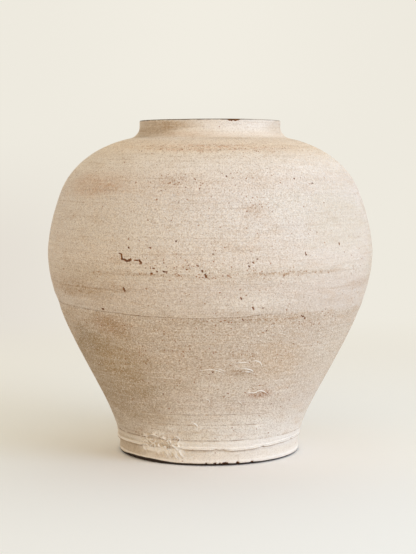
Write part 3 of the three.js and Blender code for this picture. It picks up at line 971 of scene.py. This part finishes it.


# painted contact shadow: the foot's lowest edge is painted near black, reaching higher at the left and lower
# at the right
def paintFootContactShadow(tree, place, sideways, height):
    fray = swayAt(tree, place, (140, 140, 140), 3, 0.6, footWear["fray"])
    left = maths(tree, "MULTIPLY", rangeOf(tree, sideways, footWear["leftFrom"], footWear["leftTo"]),
                 rangeOf(tree, sideways, footWear["leftEndFrom"], footWear["leftEndTo"]))
    right = rangeOf(tree, sideways, footWear["rightFrom"], footWear["rightTo"])
    edge = maths(tree, "MULTIPLY_ADD", left, footWear["left"], maths(tree, "ADD", height, fray))
    edge = maths(tree, "MULTIPLY_ADD", right, footWear["right"], edge)
    return rangeOf(tree, edge, footWear["from"], footWear["to"])


def newMaterial(name):
    # a material, with its tree, its shader and the place on the piece
    material = bpy.data.materials.new(name)
    material.use_nodes = True
    tree = material.node_tree
    place = addNode(tree, "ShaderNodeTexCoord").outputs["Object"]
    return material, tree, tree.nodes["Principled BSDF"], place


def raiseGrain(tree, shader, height):
    bump = addNode(tree, "ShaderNodeBump", {"Strength": 1.0, "Distance": 1.0, "Height": height})
    tree.links.new(bump.outputs["Normal"], shader.inputs["Normal"])


def coatMaterial(name, look):
    # the slip coat of one piece: its tone, stains, nicks, pits and grain, with painted highlight and shade
    # from its relief and a painted contact shadow at the foot
    material, tree, shader, place = newMaterial(name)
    colour = useGroup(tree, coatTone, {"Place": place, "Warmth": look["warmth"]}).outputs["Color"]
    colour = stained(tree, place, colour, look["stains"])
    wiring = {"Place": place, "Relief": look["relief"], "Brushing": look["brushing"]}
    grain = useGroup(tree, slipGrain, wiring).outputs
    sideways = addNode(tree, "ShaderNodeSeparateXYZ", {0: place}).outputs["X"]
    height = addNode(tree, "ShaderNodeSeparateXYZ", {0: place}).outputs["Z"]
    right = rangeOf(tree, sideways, calmer["rightFrom"], calmer["rightTo"], 1.0, look["calmRight"])
    low = rangeOf(tree, height, calmer["footTo"], calmer["footFrom"], calmer["foot"], 1.0)
    calm = maths(tree, "MULTIPLY", right, low)
    for part, start, end, amount, tone in grainTones:
        share = maths(tree, "MULTIPLY", rangeOf(tree, grain[part], start, end, 0, look[amount]), calm)
        colour = mixed(tree, share, colour, paint(tone))
    # Painted light from the relief: where the skin stands out of its close surroundings it is painted paler,
    # as a painted highlight, and where it sinks it is painted browner, as painted shade
    close = attributeOf(tree, "close")
    colour = mixed(tree, rangeOf(tree, close, 0.05, 0.70, 0, look["ridges"]), colour, paint("fbf7f1"))
    colour = mixed(tree, rangeOf(tree, close, -0.12, -0.55, 0, look["creases"]), colour, paint("80562b"))
    clusters = rangeOf(tree, noiseAt(tree, place, (60, 60, 150), 3), 0.30, 0.54)
    clusters = maths(tree, "MULTIPLY", attributeOf(tree, "crowd"), clusters)
    wiring = {"Place": place, "Spacing": pitted["speckSpacing"], "Size": pitted["speckSize"],
              "Share": maths(tree, "MULTIPLY_ADD", clusters, pitted["speckCrowd"], look["specks"])}
    specks = useGroup(tree, pits, wiring).outputs["Mask"]
    share = maths(tree, "MULTIPLY", specks, pitted["speckAmount"])
    colour = mixed(tree, share, colour, paint(pitted["speckTone"]))
    wiring = {"Place": place, "Spacing": pitted["poppedSpacing"], "Size": pitted["poppedSize"],
              "Share": maths(tree, "MULTIPLY_ADD", clusters, pitted["poppedCrowd"], look["popped"])}
    popped = useGroup(tree, pits, wiring).outputs["Mask"]
    bare = attributeOf(tree, "bare")
    frayed = maths(tree, "ADD", bare, swayAt(tree, place, (800, 800, 800), 2, 0.6, pitted["fray"]))
    popped = maths(tree, "MAXIMUM", popped, rangeOf(tree, frayed, pitted["bareFrom"], pitted["bareTo"]))
    mottle = rangeOf(tree, noiseAt(tree, place, (420, 420, 420), 2), 0.35, 0.65)
    body = mixed(tree, mottle, paint(pitted["bodyDark"]), paint(pitted["bodyPale"]))
    core = rangeOf(tree, bare, pitted["coreFrom"], pitted["coreTo"])
    core = maths(tree, "MULTIPLY", core, pitted["coreAmount"])
    body = mixed(tree, core, body, paint(pitted["core"]))
    colour = mixed(tree, maths(tree, "MULTIPLY", popped, pitted["poppedAmount"]), colour, body)
    if look["rimWear"]:
        worn = maths(tree, "MULTIPLY", rimWorn(tree, place, sideways, height), look["rimWear"])
        colour = mixed(tree, worn, colour, paint(rimWear["tone"]))
    # painted contact shadow along the foot's lower edge
    if look["footWear"]:
        worn = maths(tree, "MULTIPLY", paintFootContactShadow(tree, place, sideways, height), look["footWear"])
        colour = mixed(tree, worn, colour, paint(footWear["tone"]))
    tree.links.new(colour, shader.inputs["Base Color"])
    sunk = maths(tree, "MULTIPLY", popped, -pitted["depth"])
    raiseGrain(tree, shader, maths(tree, "ADD", grain["Height"], sunk))
    shader.inputs["Roughness"].default_value = look["roughness"]
    shader.inputs["Specular IOR Level"].default_value = 0.25
    return material


def bareClayMaterial():
    # the brown body inside, with the marks of the thrower's fingers
    material, tree, shader, place = newMaterial("bareStoneware")
    rings = noiseAt(tree, place, (5, 5, 150), 2)
    colour = mixed(tree, rings, paint("93714f"), paint("b18f6c"))
    mottle = rangeOf(tree, noiseAt(tree, place, (40, 40, 60), 5, 0.65), 0.45, 0.75)
    colour = mixed(tree, mottle, colour, paint("c4a685"))
    wiring = {"Place": place, "Spacing": 260.0, "Size": 0.22, "Share": 0.12}
    specks = useGroup(tree, pits, wiring).outputs["Mask"]
    colour = mixed(tree, maths(tree, "MULTIPLY", specks, 0.7), colour, paint("5b4029"))
    tree.links.new(colour, shader.inputs["Base Color"])
    grain = useGroup(tree, slipGrain, {"Place": place, "Relief": 0.0002, "Brushing": 0.00008})
    fingerRings = maths(tree, "MULTIPLY", noiseAt(tree, place, (3, 3, 85), 1), 0.0009)
    raiseGrain(tree, shader, maths(tree, "ADD", fingerRings, grain.outputs["Height"]))
    shader.inputs["Roughness"].default_value = 0.9
    return material


plainLook = {"warmth": 0.30, "relief": 0.00055, "brushing": 0.00012, "hollows": 0.28, "mottling": 0.33,
             "crests": 0.20, "lines": 0.25, "ridges": 0.70, "creases": 0.80, "specks": 0.03, "popped": 0.010,
             "calmRight": 0.55, "stains": (), "rimWear": 0, "footWear": 0, "roughness": 0.92}
creamSlip = coatMaterial("creamSlip", {**plainLook, "stains": upperStains})
collarStains = (
    (-54, 0.387, 0.054, 0.018, "a18a70", 0.80, 0.3),
    (68, 0.390, 0.036, 0.015, "c3b29e", 0.60, 0.3),
    (-32, 0.393, 0.036, 0.006, "b0977a", 0.65, 0.6),
    (-16, 0.382, 0.050, 0.005, "c9ab8d", 0.45, 0.7),
    (20, 0.392, 0.060, 0.008, "e9e5e1", 0.60, 0.2),
)
collarSlip = coatMaterial("collarSlip", {**plainLook, "warmth": 0.15, "relief": 0.00030, "hollows": 0.15,
                                         "mottling": 0.20, "crests": 0.12, "specks": 0.02, "popped": 0.004,
                                         "stains": collarStains, "rimWear": 0.90})
tanSlip = coatMaterial("tanSlip", {**plainLook, "warmth": 0.40, "hollows": 0.36, "mottling": 0.46,
                                   "calmRight": 0.8, "stains": lowerStains})
seamSlipCoat = coatMaterial("seamSlipCoat", {**plainLook, "warmth": 0.8, "hollows": 0.7, "popped": 0.3})
footCoat = coatMaterial("footCoat", {**plainLook, "warmth": 0.05, "hollows": 0.18, "mottling": 0.20,
                                     "specks": 0.015, "ridges": 1.0, "creases": 0.70, "popped": 0.004,
                                     "stains": footStains, "footWear": 0.97})
bareClay = bareClayMaterial()
print("coats mixed")


# The pieces, from the foot up. Steps round the axis, and how far apart the rings of the skin are.
footRing = {
    "steps": 700, "ringSpacing": 0.0008, "rolled": 0.0006, "rolledHeight": 0.0048, "rolledHalf": 0.0018,
    "hollow": 0.00014, "hollowHeight": 0.0095, "hollowHalf": 0.004, "grain": 0.00014,
    "nickDepth": 0.0012, "nickRise": 0.0022, "nickTurn": 0.9, "underLip": 0.0006, "underLipHalf": 0.0017,
    "raisedEdge": 0.0006, "raisedFrom": -125, "raisedTo": -28, "raisedFade": 30, "edgeLow": 0.001,
    "edgeHigh": 0.010, "edgeFade": 0.006, "filled": 0.0017, "filledHalf": 0.0042,
}


def footShape(points, azimuth, radius):
    # the rolled lower edge, a shallow hollow above it, the smeared slip, and nicks along the edge
    height = points[:, 2]
    # the whole shape is also painted: raised parts paler, as a painted highlight, and the hollow, the groove
    # under the lip and the nicks browner, as painted shade
    shape = footRing["rolled"] * hump(height, footRing["rolledHeight"], footRing["rolledHalf"])
    shape -= footRing["hollow"] * hump(height, footRing["hollowHeight"], footRing["hollowHalf"])
    shape += footRing["grain"] * grainNoise(points, (0.006, 0.006, 0.0035), 7.7)
    shape -= footRing["underLip"] * hump(height, footJoint, footRing["underLipHalf"]) * lipAmount(azimuth)
    shape += footRing["filled"] * smearAmount(azimuth) * hump(height, footJoint, footRing["filledHalf"])
    for turn, low, endTurn, *_ in footNicks:
        across = hump(azimuth, (turn + endTurn) / 2, max(footRing["nickTurn"], abs(endTurn - turn) * 0.5))
        shape -= footRing["nickDepth"] * across * hump(height, low, footRing["nickRise"])
    return shape


def footEdgeDroop(points, azimuth):
    # at the left the worn edge stands a little higher over the floor
    height = points[:, 2]
    edge = np.clip(height / footRing["edgeLow"], 0, 1)
    edge = edge * np.clip((footRing["edgeHigh"] - height) / footRing["edgeFade"], 0, 1)
    raised = stretchOf(azimuth, footRing["raisedFrom"], footRing["raisedTo"], footRing["raisedFade"])
    return -footRing["raisedEdge"] * edge * raised


def makeFootRing():
    innerRadius = footRadius - wall["footWidth"]
    face = [(footRadius, h) for h in np.arange(footEdge[-1][1], footJoint, footRing["ringSpacing"])][1:]
    section = [(innerRadius, wall["footInnerWear"]), (innerRadius + wall["footInnerWear"], 0)]
    section += [(r, 0) for r in np.linspace(innerRadius + 0.004, footEdge[0][0], 6)[:-1]]
    section += footEdge + face + footLower
    section += [(innerRadius, h) for h in np.linspace(footLower[-1][1], wall["footInnerWear"], 8)[1:-1]]
    piece = turnPiece("footRing", section, footRing["steps"])
    throwSkin(piece, footShape, footNicks, footEdgeDroop)
    return finishPiece(piece, "foot_ring", [footCoat, bareClay])


makeFootRing()


# The slip squeezed out of the joint over the foot ring stands out as a ragged lip
footLip = {"steps": 1000, "points": 14, "reach": 0.0012, "droop": 0.0012, "ragged": 0.0038,
           "fineRagged": 0.0014, "grain": 0.00012, "notch": 0.0010, "topReach": 0.0009,
           "freeFrom": -0.0003, "within": 0.0025}


def lipShare(points):
    # 0 at the lower edge of the free face of the slip, 1 at its upper edge
    return np.clip((points[:, 2] - footJoint) / footSlipCoat, 0, 1)


def lipRagged(points):
    level = points * np.array([1, 1, 0])
    fine = 0.4 * grainNoise(level, footLip["fineRagged"], 9)
    return 0.5 + 0.5 * grainNoise(level, footLip["ragged"], 0) + fine


def lipFree(points):
    # the part of the slip that stands out of the joint
    return np.hypot(points[:, 0], points[:, 1]) > baseRadius + footLip["freeFrom"]


# the lip's bulge is also painted paler, as a painted highlight, and where it droops the skin is painted
# browner, as painted shade
def lipShape(points, azimuth, radius):
    share, amount = lipShare(points), lipAmount(azimuth)
    bulge = np.cos((share - 0.35) * np.pi / 1.6).clip(0) ** 0.7
    reach = footLip["reach"] * amount * (0.55 + 0.45 * lipRagged(points)) * bulge
    reach += footLip["grain"] * grainNoise(points, 0.0024, 4)
    reach -= footLip["notch"] * (1 - amount) * (1 - smearAmount(azimuth)) * (1 - share)
    return (reach + footLip["topReach"] * share ** 4) * lipFree(points)


def lipDroop(points, azimuth):
    ragged = 0.25 + 0.75 * lipRagged(points)
    return footLip["droop"] * lipAmount(azimuth) * (1 - lipShare(points)) ** 2 * ragged * lipFree(points)


def makeFootSlip():
    bottom, top = footJoint + 0.0001, baseUnderside
    outer = [(baseRadius, float(h)) for h in np.linspace(bottom, top, footLip["points"] + 1)]
    section = footLower[::-1] + outer + footUpper[1:]
    piece = turnPiece("footSlip", section, footLip["steps"])
    throwSkin(piece, lipShape, (), lipDroop, footLip["within"])
    return finishPiece(piece, "foot_slip", [footCoat], 60)


makeFootSlip()

# The base disc: its edge is the band above the lip
baseDisc = {"steps": 700, "ringSpacing": 0.0008, "floorRings": 9, "bead": 0.0009, "beadHalf": 0.0015,
            "swell": 0.0003, "swellHeight": 0.0075, "swellHalf": 0.003}


def bandShape(points, azimuth, radius):
    # the band swells softly down to the lip
    height = points[:, 2] - baseUnderside
    # the bead and the swell are also painted paler, as a painted highlight
    bead = baseDisc["bead"] * hump(height, 0, baseDisc["beadHalf"]) * (0.25 + 0.75 * lipAmount(azimuth))
    return bead + baseDisc["swell"] * hump(height, baseDisc["swellHeight"], baseDisc["swellHalf"])


def makeBaseDisc():
    underside, floor = footUpper[-1], baseLower[-1]
    section = [(r, underside[1]) for r in np.linspace(0, underside[0], baseDisc["floorRings"])]
    section += footUpper[:-1][::-1]
    section += runUp(outerLine, baseUnderside, baseJoint, baseDisc["ringSpacing"])[1:]
    section += baseLower[1:]
    section += [(r, floor[1]) for r in np.linspace(floor[0], 0, baseDisc["floorRings"])[1:]]
    piece = turnPiece("baseDisc", section, baseDisc["steps"])
    throwSkin(piece, bandShape)
    return finishPiece(piece, "base_disc", [footCoat, bareClay])


makeBaseDisc()


# Slip rings: steps round the axis, and how far the edge lies back from the skin, less at the right
slipRings = {"baseSteps": 700, "steps": 500, "baseRecess": 0.00014, "seamRecess": 0.00028, "neckRecess": 0.0,
             "rightFrom": 16, "rightTo": 200, "rightFade": 16, "shallower": 0.8}


def makeSlipRing(name, node, lower, upper, steps, recess, material):
    def edgeShape(points, azimuth, radius):
        right = stretchOf(azimuth, slipRings["rightFrom"], slipRings["rightTo"], slipRings["rightFade"])
        # the recessed edge is also painted browner, as painted shade along the joint
        return -recess * (1 - slipRings["shallower"] * right)

    piece = turnPiece(name, lower[::-1] + upper, steps)
    throwSkin(piece, edgeShape)
    return finishPiece(piece, node, [material])


makeSlipRing("baseSlip", "base_slip", baseLower, baseUpper,
             slipRings["baseSteps"], slipRings["baseRecess"], tanSlip)
makeSlipRing("seamSlip", "seam_slip", seamLower, seamUpper,
             slipRings["steps"], slipRings["seamRecess"], seamSlipCoat)
makeSlipRing("neckSlip", "neck_slip", neckLower, neckUpper,
             slipRings["steps"], slipRings["neckRecess"], creamSlip)

# The two bowl walls
lowerWall = {"steps": 470, "fineSpacing": 0.0010, "fineUpTo": 0.072, "spacing": 0.0016,
             "innerSpacing": 0.009}
upperWall = {"steps": 470, "spacing": 0.0018, "innerSpacing": 0.009}

# Blobs of slip standing on the lower wall: azimuth, height, half width, half height and rise
slipBlobs = (
    (13, 0.1205, 0.0100, 0.0035, 0.0004), (3, 0.117, 0.011, 0.0035, 0.0003),
    (19, 0.087, 0.0050, 0.0035, 0.0003), (24.5, 0.0885, 0.0070, 0.0040, 0.0004),
    (15.5, 0.078, 0.005, 0.0045, 0.0004), (-1, 0.081, 0.004, 0.0060, 0.0004),
    (-30, 0.036, 0.010, 0.0040, 0.0008), (-22, 0.045, 0.008, 0.0040, 0.0006),
    (-6, 0.046, 0.004, 0.0050, 0.0009), (28, 0.044, 0.012, 0.0030, 0.0005),
    (140, 0.100, 0.012, 0.0050, 0.0008), (-120, 0.070, 0.011, 0.0040, 0.0008),
)


def blobShape(points, azimuth, radius):
    shape = np.zeros(len(points))
    for turn, height, halfWidth, halfHeight, rise in slipBlobs:
        away = points - np.array(onSkin(turn, height))
        across = np.hypot(away[:, 0], away[:, 1]) / halfWidth
        near = across ** 2 + (away[:, 2] / halfHeight) ** 2
        close = near < 9
        rough = np.zeros(len(points))
        rough[close] = grainNoise(points[close], (0.003, 0.003, 0.002), turn)
        # the blobs are also painted, mostly paler, as a painted highlight
        shape += rise * np.exp(-near) * (0.7 + 0.9 * rough)
    return shape


def makeLowerWall():
    outer = runUp(outerLine, baseUpper[0][1], lowerWall["fineUpTo"], lowerWall["fineSpacing"])
    outer += runUp(outerLine, lowerWall["fineUpTo"], seamJoint, lowerWall["spacing"])[1:]
    inner = runUp(innerLine, baseUpper[-1][1], seamLower[-1][1], lowerWall["innerSpacing"])[::-1]
    section = baseUpper[1:][::-1] + outer + seamLower[1:-1] + inner[:-1]
    piece = turnPiece("lowerWall", section, lowerWall["steps"])
    throwSkin(piece, blobShape, lowerNicks)
    return finishPiece(piece, "lower_wall", [tanSlip, bareClay])


makeLowerWall()


def makeUpperWall():
    outer = runUp(outerLine, seamUpper[0][1], neckJoint, upperWall["spacing"])
    innerRoot = innerLine[-1]
    underBore = (boreRadius, innerRoot[1] + (innerRoot[0] - boreRadius) * math.tan(wall["neckSlope"]))
    inner = runUp(innerLine, seamUpper[-1][1], innerRoot[1], upperWall["innerSpacing"])[::-1]
    section = seamUpper[1:][::-1] + outer + neckLower[1:] + [underBore] + inner[:-1]
    piece = turnPiece("upperWall", section, upperWall["steps"])
    throwSkin(piece, None, upperNicks)
    return finishPiece(piece, "upper_wall", [creamSlip, bareClay])


makeUpperWall()

# The neck collar and its rim, which is a little uneven and chipped at the front
collar = {"steps": 700, "ringSpacing": 0.0012, "boreRings": 10, "rimRings": 5, "uneven": 0.0003,
          "unevenRise": 0.004, "unevenStretch": 45, "chipAt": 19.0, "chipHalf": 4.5, "chipDepth": 0.0011,
          "chipRise": 0.003}


def collarShape(points, azimuth, radius):
    top = np.clip((points[:, 2] - rimHeight + collar["chipRise"]) / collar["chipRise"], 0, 1)
    chip = np.exp(-(((azimuth - collar["chipAt"]) / collar["chipHalf"]) ** 4))
    return -collar["chipDepth"] * chip * top


def unevenRim(piece):
    # the rim's level wanders a little
    for vertex in piece.data.vertices:
        top = min(1, max(0, (vertex.co.z - rimHeight + collar["unevenRise"]) / collar["unevenRise"]))
        turn = math.atan2(vertex.co.x, -vertex.co.y)
        fine = noise.noise(Vector((vertex.co.x, vertex.co.y, 0)) * collar["unevenStretch"])
        uneven = 0.5 * math.sin(2 * turn + 0.4) + 0.5 * fine
        vertex.co.z += collar["uneven"] * (uneven - 0.8) * top


def makeNeckCollar():
    rimFoot = rimHeight - wall["rimRound"]
    upright = [(wall["neckRadius"], float(h)) for h in
               np.arange(collarFillet[-1][1], rimFoot, collar["ringSpacing"])][1:]
    bore = [(boreRadius, float(h)) for h in np.linspace(rimFoot, neckUpper[-1][1], collar["boreRings"])][1:-1]
    rim = np.linspace(rimOuterRound[-1][0], rimInnerRound[0][0], collar["rimRings"])[1:-1]
    section = neckUpper[1:][::-1] + collarFillet + upright + rimOuterRound
    section += [(float(r), rimHeight) for r in rim] + rimInnerRound + bore
    piece = turnPiece("neckCollar", section, collar["steps"])
    throwSkin(piece, collarShape, collarNicks)
    unevenRim(piece)
    return finishPiece(piece, "neck_collar", [collarSlip])


makeNeckCollar()

# The two coils inside, pressed in by hand
coils = {"steps": 240, "floorRadius": 0.012, "clearance": 0.00045, "seamBelow": 0.010, "seamAbove": 0.014,
         "seamThickness": 0.006, "press": 0.0011, "pressSize": 0.016, "heldWithin": 0.0006,
         "freeOver": 0.003}


def displaceByClouds(piece, name, size, strength, middle, group=""):
    clouds = bpy.data.textures.new(piece.name + name, "CLOUDS")
    clouds.noise_scale = size
    bpy.context.view_layer.objects.active = piece
    push = piece.modifiers.new(name, "DISPLACE")
    push.texture = clouds
    push.texture_coords = "LOCAL"
    push.strength = strength
    push.mid_level = middle
    push.vertex_group = group
    bpy.ops.object.modifier_apply(modifier=name)


def pressByHand(piece):
    # finger presses along a coil, from a cloud texture, on its free side only
    group = piece.vertex_groups.new(name="free")
    for vertex in piece.data.vertices:
        radius = math.hypot(vertex.co.x, vertex.co.y)
        free = insideWall(vertex.co.z) - coils["clearance"] - radius
        lifted = vertex.co.z - baseLower[-1][1]
        if free > coils["heldWithin"] and lifted > coils["heldWithin"]:
            group.add([vertex.index], min(1, free / coils["freeOver"]), "REPLACE")
    displaceByClouds(piece, "press", coils["pressSize"], coils["press"], 0.9, "free")


def makeCoils():
    floor = baseLower[-1][1]
    corner = (insideWall(floor) - coils["clearance"], floor)
    front = arcPoints(corner, coils["floorRadius"], math.pi / 2, math.pi, 14)
    flat = [(float(r), floor) for r in np.linspace(front[-1][0], corner[0], 5)][1:]
    piece = turnPiece("floorCoil", front + flat, coils["steps"])
    pressByHand(piece)
    finishPiece(piece, "floor_coil", [bareClay], 50)
    low, high = seamJoint - coils["seamBelow"], seamJoint + tongueHeight + coils["seamAbove"]
    back = [(r - coils["clearance"], h) for r, h in runUp(innerLine, low, high, 0.002)]
    swell = np.sin(np.pi * np.linspace(0, 1, len(back)))
    front = [(r - coils["seamThickness"] * s, h) for (r, h), s in zip(back, swell)]
    piece = turnPiece("seamCoil", back + front[1:-1][::-1], coils["steps"])
    pressByHand(piece)
    finishPiece(piece, "seam_coil", [bareClay], 50)


makeCoils()


# The strands' grain, and how much paler they are painted near the foot and higher up, as a painted highlight
strandLook = {"grain": 0.0009, "grainSize": 0.0025, "paleByFoot": 0.6, "pale": 0.48, "sunk": 0.4,
              "taper": (0.35, 1.0, 1.15, 0.8, 0.5), "tip": 0.3}


def makeStrand(places, half):
    bpy.ops.curve.primitive_bezier_curve_add(location=(0, 0, 0))
    strand = bpy.context.object
    spline = strand.data.splines[0]
    spline.bezier_points.add(len(places) - 2)
    for step, (point, (turn, height)) in enumerate(zip(spline.bezier_points, places)):
        spot = onSkin(turn, height)
        rise = float(skinRelief(np.array([spot]), np.array([float(turn)]))[0][0]) + strandLook["sunk"] * half
        point.co = spot + Vector((spot.x, spot.y, 0)).normalized() * rise
        point.co.x += float(leanOf(np.array([height]))[0])
        point.handle_left_type = point.handle_right_type = "AUTO"
        last = step == len(places) - 1
        point.radius = strandLook["tip"] if last else strandLook["taper"][min(step, 4)]
    strand.data.resolution_u = 8
    strand.data.bevel_depth = half
    strand.data.bevel_resolution = 3
    strand.data.use_fill_caps = True
    bpy.ops.object.convert(target="MESH")
    strand = bpy.context.object
    bpy.ops.object.select_all(action="DESELECT")
    return strand


def makeStrands():
    clearSelection()
    made = [makeStrand(places, half) for *places, half in strands]
    for strand in made:
        strand.select_set(True)
    bpy.context.view_layer.objects.active = made[0]
    bpy.ops.object.join()
    piece = bpy.context.object
    piece.name = "slipStrands"
    piece.data.name = "slipStrands"
    bpy.ops.object.transform_apply(location=True, rotation=True, scale=True)
    displaceByClouds(piece, "rough", strandLook["grainSize"], strandLook["grain"], 0.5)
    # the strands are painted paler, as a painted highlight
    keepValue(piece.data, "close", [strandLook["paleByFoot" if vertex.co.z < byFoot else "pale"]
                                    for vertex in piece.data.vertices])
    return finishPiece(piece, None, [footCoat], 60)


makeStrands()
print("jar complete")


# The stage: a pale floor that fades into the backdrop's colour far out, and soft light
studio = {
    "floorRadius": 9.0, "floorTone": (0.90, 0.90, 0.90), "fadeFrom": 0.75, "fadeTo": 1.6,
    "backdrop": "eeeadf", "backdropLeft": "e5dfd5", "backdropMiddle": "f1ede2",
    "keyTone": (0.500, 0.715, 1.0), "keyPower": 32.0, "keySize": 1.6, "keyDistance": 2.4,
    "keyAzimuth": 55.0, "keyHeight": 17.5, "aim": (0, 0, 0.2),
}
# The soft light that comes from all round, then what the left, right, front, back and top add. Its tones
# were fitted to the shading in the photo, and are tinted.
roomLight = (
    ((0, 0, 0), (0.344, 0.278, 0.204)), ((-1, 0, 0), (0.144, 0.042, 0.042)),
    ((1, 0, 0), (0.451, 0.288, 0.221)), ((0, -1, 0), (0.719, 0.422, 0.064)),
    ((0, 1, 0), (0.754, 0.612, 0.311)), ((0, 0, 1), (0.119, 0.339, 0.478)),
)


def backdropGroup():
    # the backdrop's colour by the way one looks: a little darker low at the left, as a painted shadow, and
    # lighter in the middle, as painted light
    group, entry, leaving = makeGroup("backdrop", (("Way", "Vector", (0, 1, 0)),), (("Color", "Color"),))
    parts = addNode(group, "ShaderNodeSeparateXYZ", {0: entry["Way"]}).outputs
    left = maths(group, "MULTIPLY", rangeOf(group, parts["X"], -0.02, -0.16),
                 rangeOf(group, parts["Z"], 0.03, -0.07))
    middle = maths(group, "MULTIPLY", rangeOf(group, maths(group, "ABSOLUTE", parts["X"]), 0.14, 0.0),
                   rangeOf(group, parts["Z"], 0.0, 0.06))
    tone = mixed(group, left, paint(studio["backdrop"]), paint(studio["backdropLeft"]))
    tone = mixed(group, middle, tone, paint(studio["backdropMiddle"]))
    group.links.new(tone, leaving["Color"])
    return group


backdrop = backdropGroup()


def makeStage():
    clearSelection()
    bpy.ops.mesh.primitive_circle_add(vertices=96, radius=studio["floorRadius"], fill_type="NGON")
    floor = bpy.context.object
    floor.name = "stageFloor"
    material = bpy.data.materials.new("stageFloor")
    material.use_nodes = True
    tree = material.node_tree
    shader = tree.nodes["Principled BSDF"]
    shader.inputs["Base Color"].default_value = (*studio["floorTone"], 1)
    shader.inputs["Roughness"].default_value = 1.0
    shader.inputs["Specular IOR Level"].default_value = 0.0
    place = addNode(tree, "ShaderNodeTexCoord").outputs["Object"]
    far = rangeOf(tree, vectors(tree, "LENGTH", place), studio["fadeFrom"], studio["fadeTo"])
    eye = (cameraPlace["x"], cameraPlace["y"], cameraPlace["z"])
    way = vectors(tree, "NORMALIZE", vectors(tree, "SUBTRACT", place, eye))
    seen = addNode(tree, "ShaderNodeLightPath").outputs["Is Camera Ray"]
    tone = useGroup(tree, backdrop, {"Way": way}).outputs["Color"]
    glow = addNode(tree, "ShaderNodeEmission", {"Color": tone, "Strength": 1.0})
    both = addNode(tree, "ShaderNodeMixShader", {0: maths(tree, "MULTIPLY", far, seen)})
    tree.links.new(shader.outputs[0], both.inputs[1])
    tree.links.new(glow.outputs[0], both.inputs[2])
    tree.links.new(both.outputs[0], tree.nodes["Material Output"].inputs["Surface"])
    floor.data.materials.append(material)


def makeLight():
    world = bpy.data.worlds.new("studio")
    bpy.context.scene.world = world
    world.use_nodes = True
    tree = world.node_tree
    way = addNode(tree, "ShaderNodeTexCoord").outputs["Generated"]
    light = roomLight[0][1]
    for side, tone in roomLight[1:]:
        facing = maths(tree, "MAXIMUM", vectors(tree, "DOT_PRODUCT", way, side), 0.0)
        share = addNode(tree, "ShaderNodeVectorMath", {0: tone, "Scale": facing}, operation="SCALE")
        light = vectors(tree, "ADD", share.outputs[0], light)
    sky = tree.nodes["Background"]
    tree.links.new(light, sky.inputs["Color"])
    tone = useGroup(tree, backdrop, {"Way": way}).outputs["Color"]
    behind = addNode(tree, "ShaderNodeBackground", {"Color": tone, "Strength": 1.0})
    seen = addNode(tree, "ShaderNodeLightPath").outputs["Is Camera Ray"]
    both = addNode(tree, "ShaderNodeMixShader", {0: seen})
    tree.links.new(sky.outputs[0], both.inputs[1])
    tree.links.new(behind.outputs[0], both.inputs[2])
    tree.links.new(both.outputs[0], tree.nodes["World Output"].inputs["Surface"])
    lamp = bpy.data.lights.new("keyLamp", "AREA")
    lamp.shape = "DISK"
    lamp.size = studio["keySize"]
    lamp.energy = studio["keyPower"]
    lamp.color = studio["keyTone"]
    key = bpy.data.objects.new("keyLamp", lamp)
    turn, rise = math.radians(studio["keyAzimuth"]), math.radians(studio["keyHeight"])
    way = Vector((math.sin(turn) * math.cos(rise), -math.cos(turn) * math.cos(rise), math.sin(rise)))
    key.location = Vector(studio["aim"]) + way * studio["keyDistance"]
    key.rotation_euler = way.to_track_quat("Z", "Y").to_euler()
    bpy.context.scene.collection.objects.link(key)


makeStage()
makeLight()
bpy.context.scene.view_settings.view_transform = "Standard"
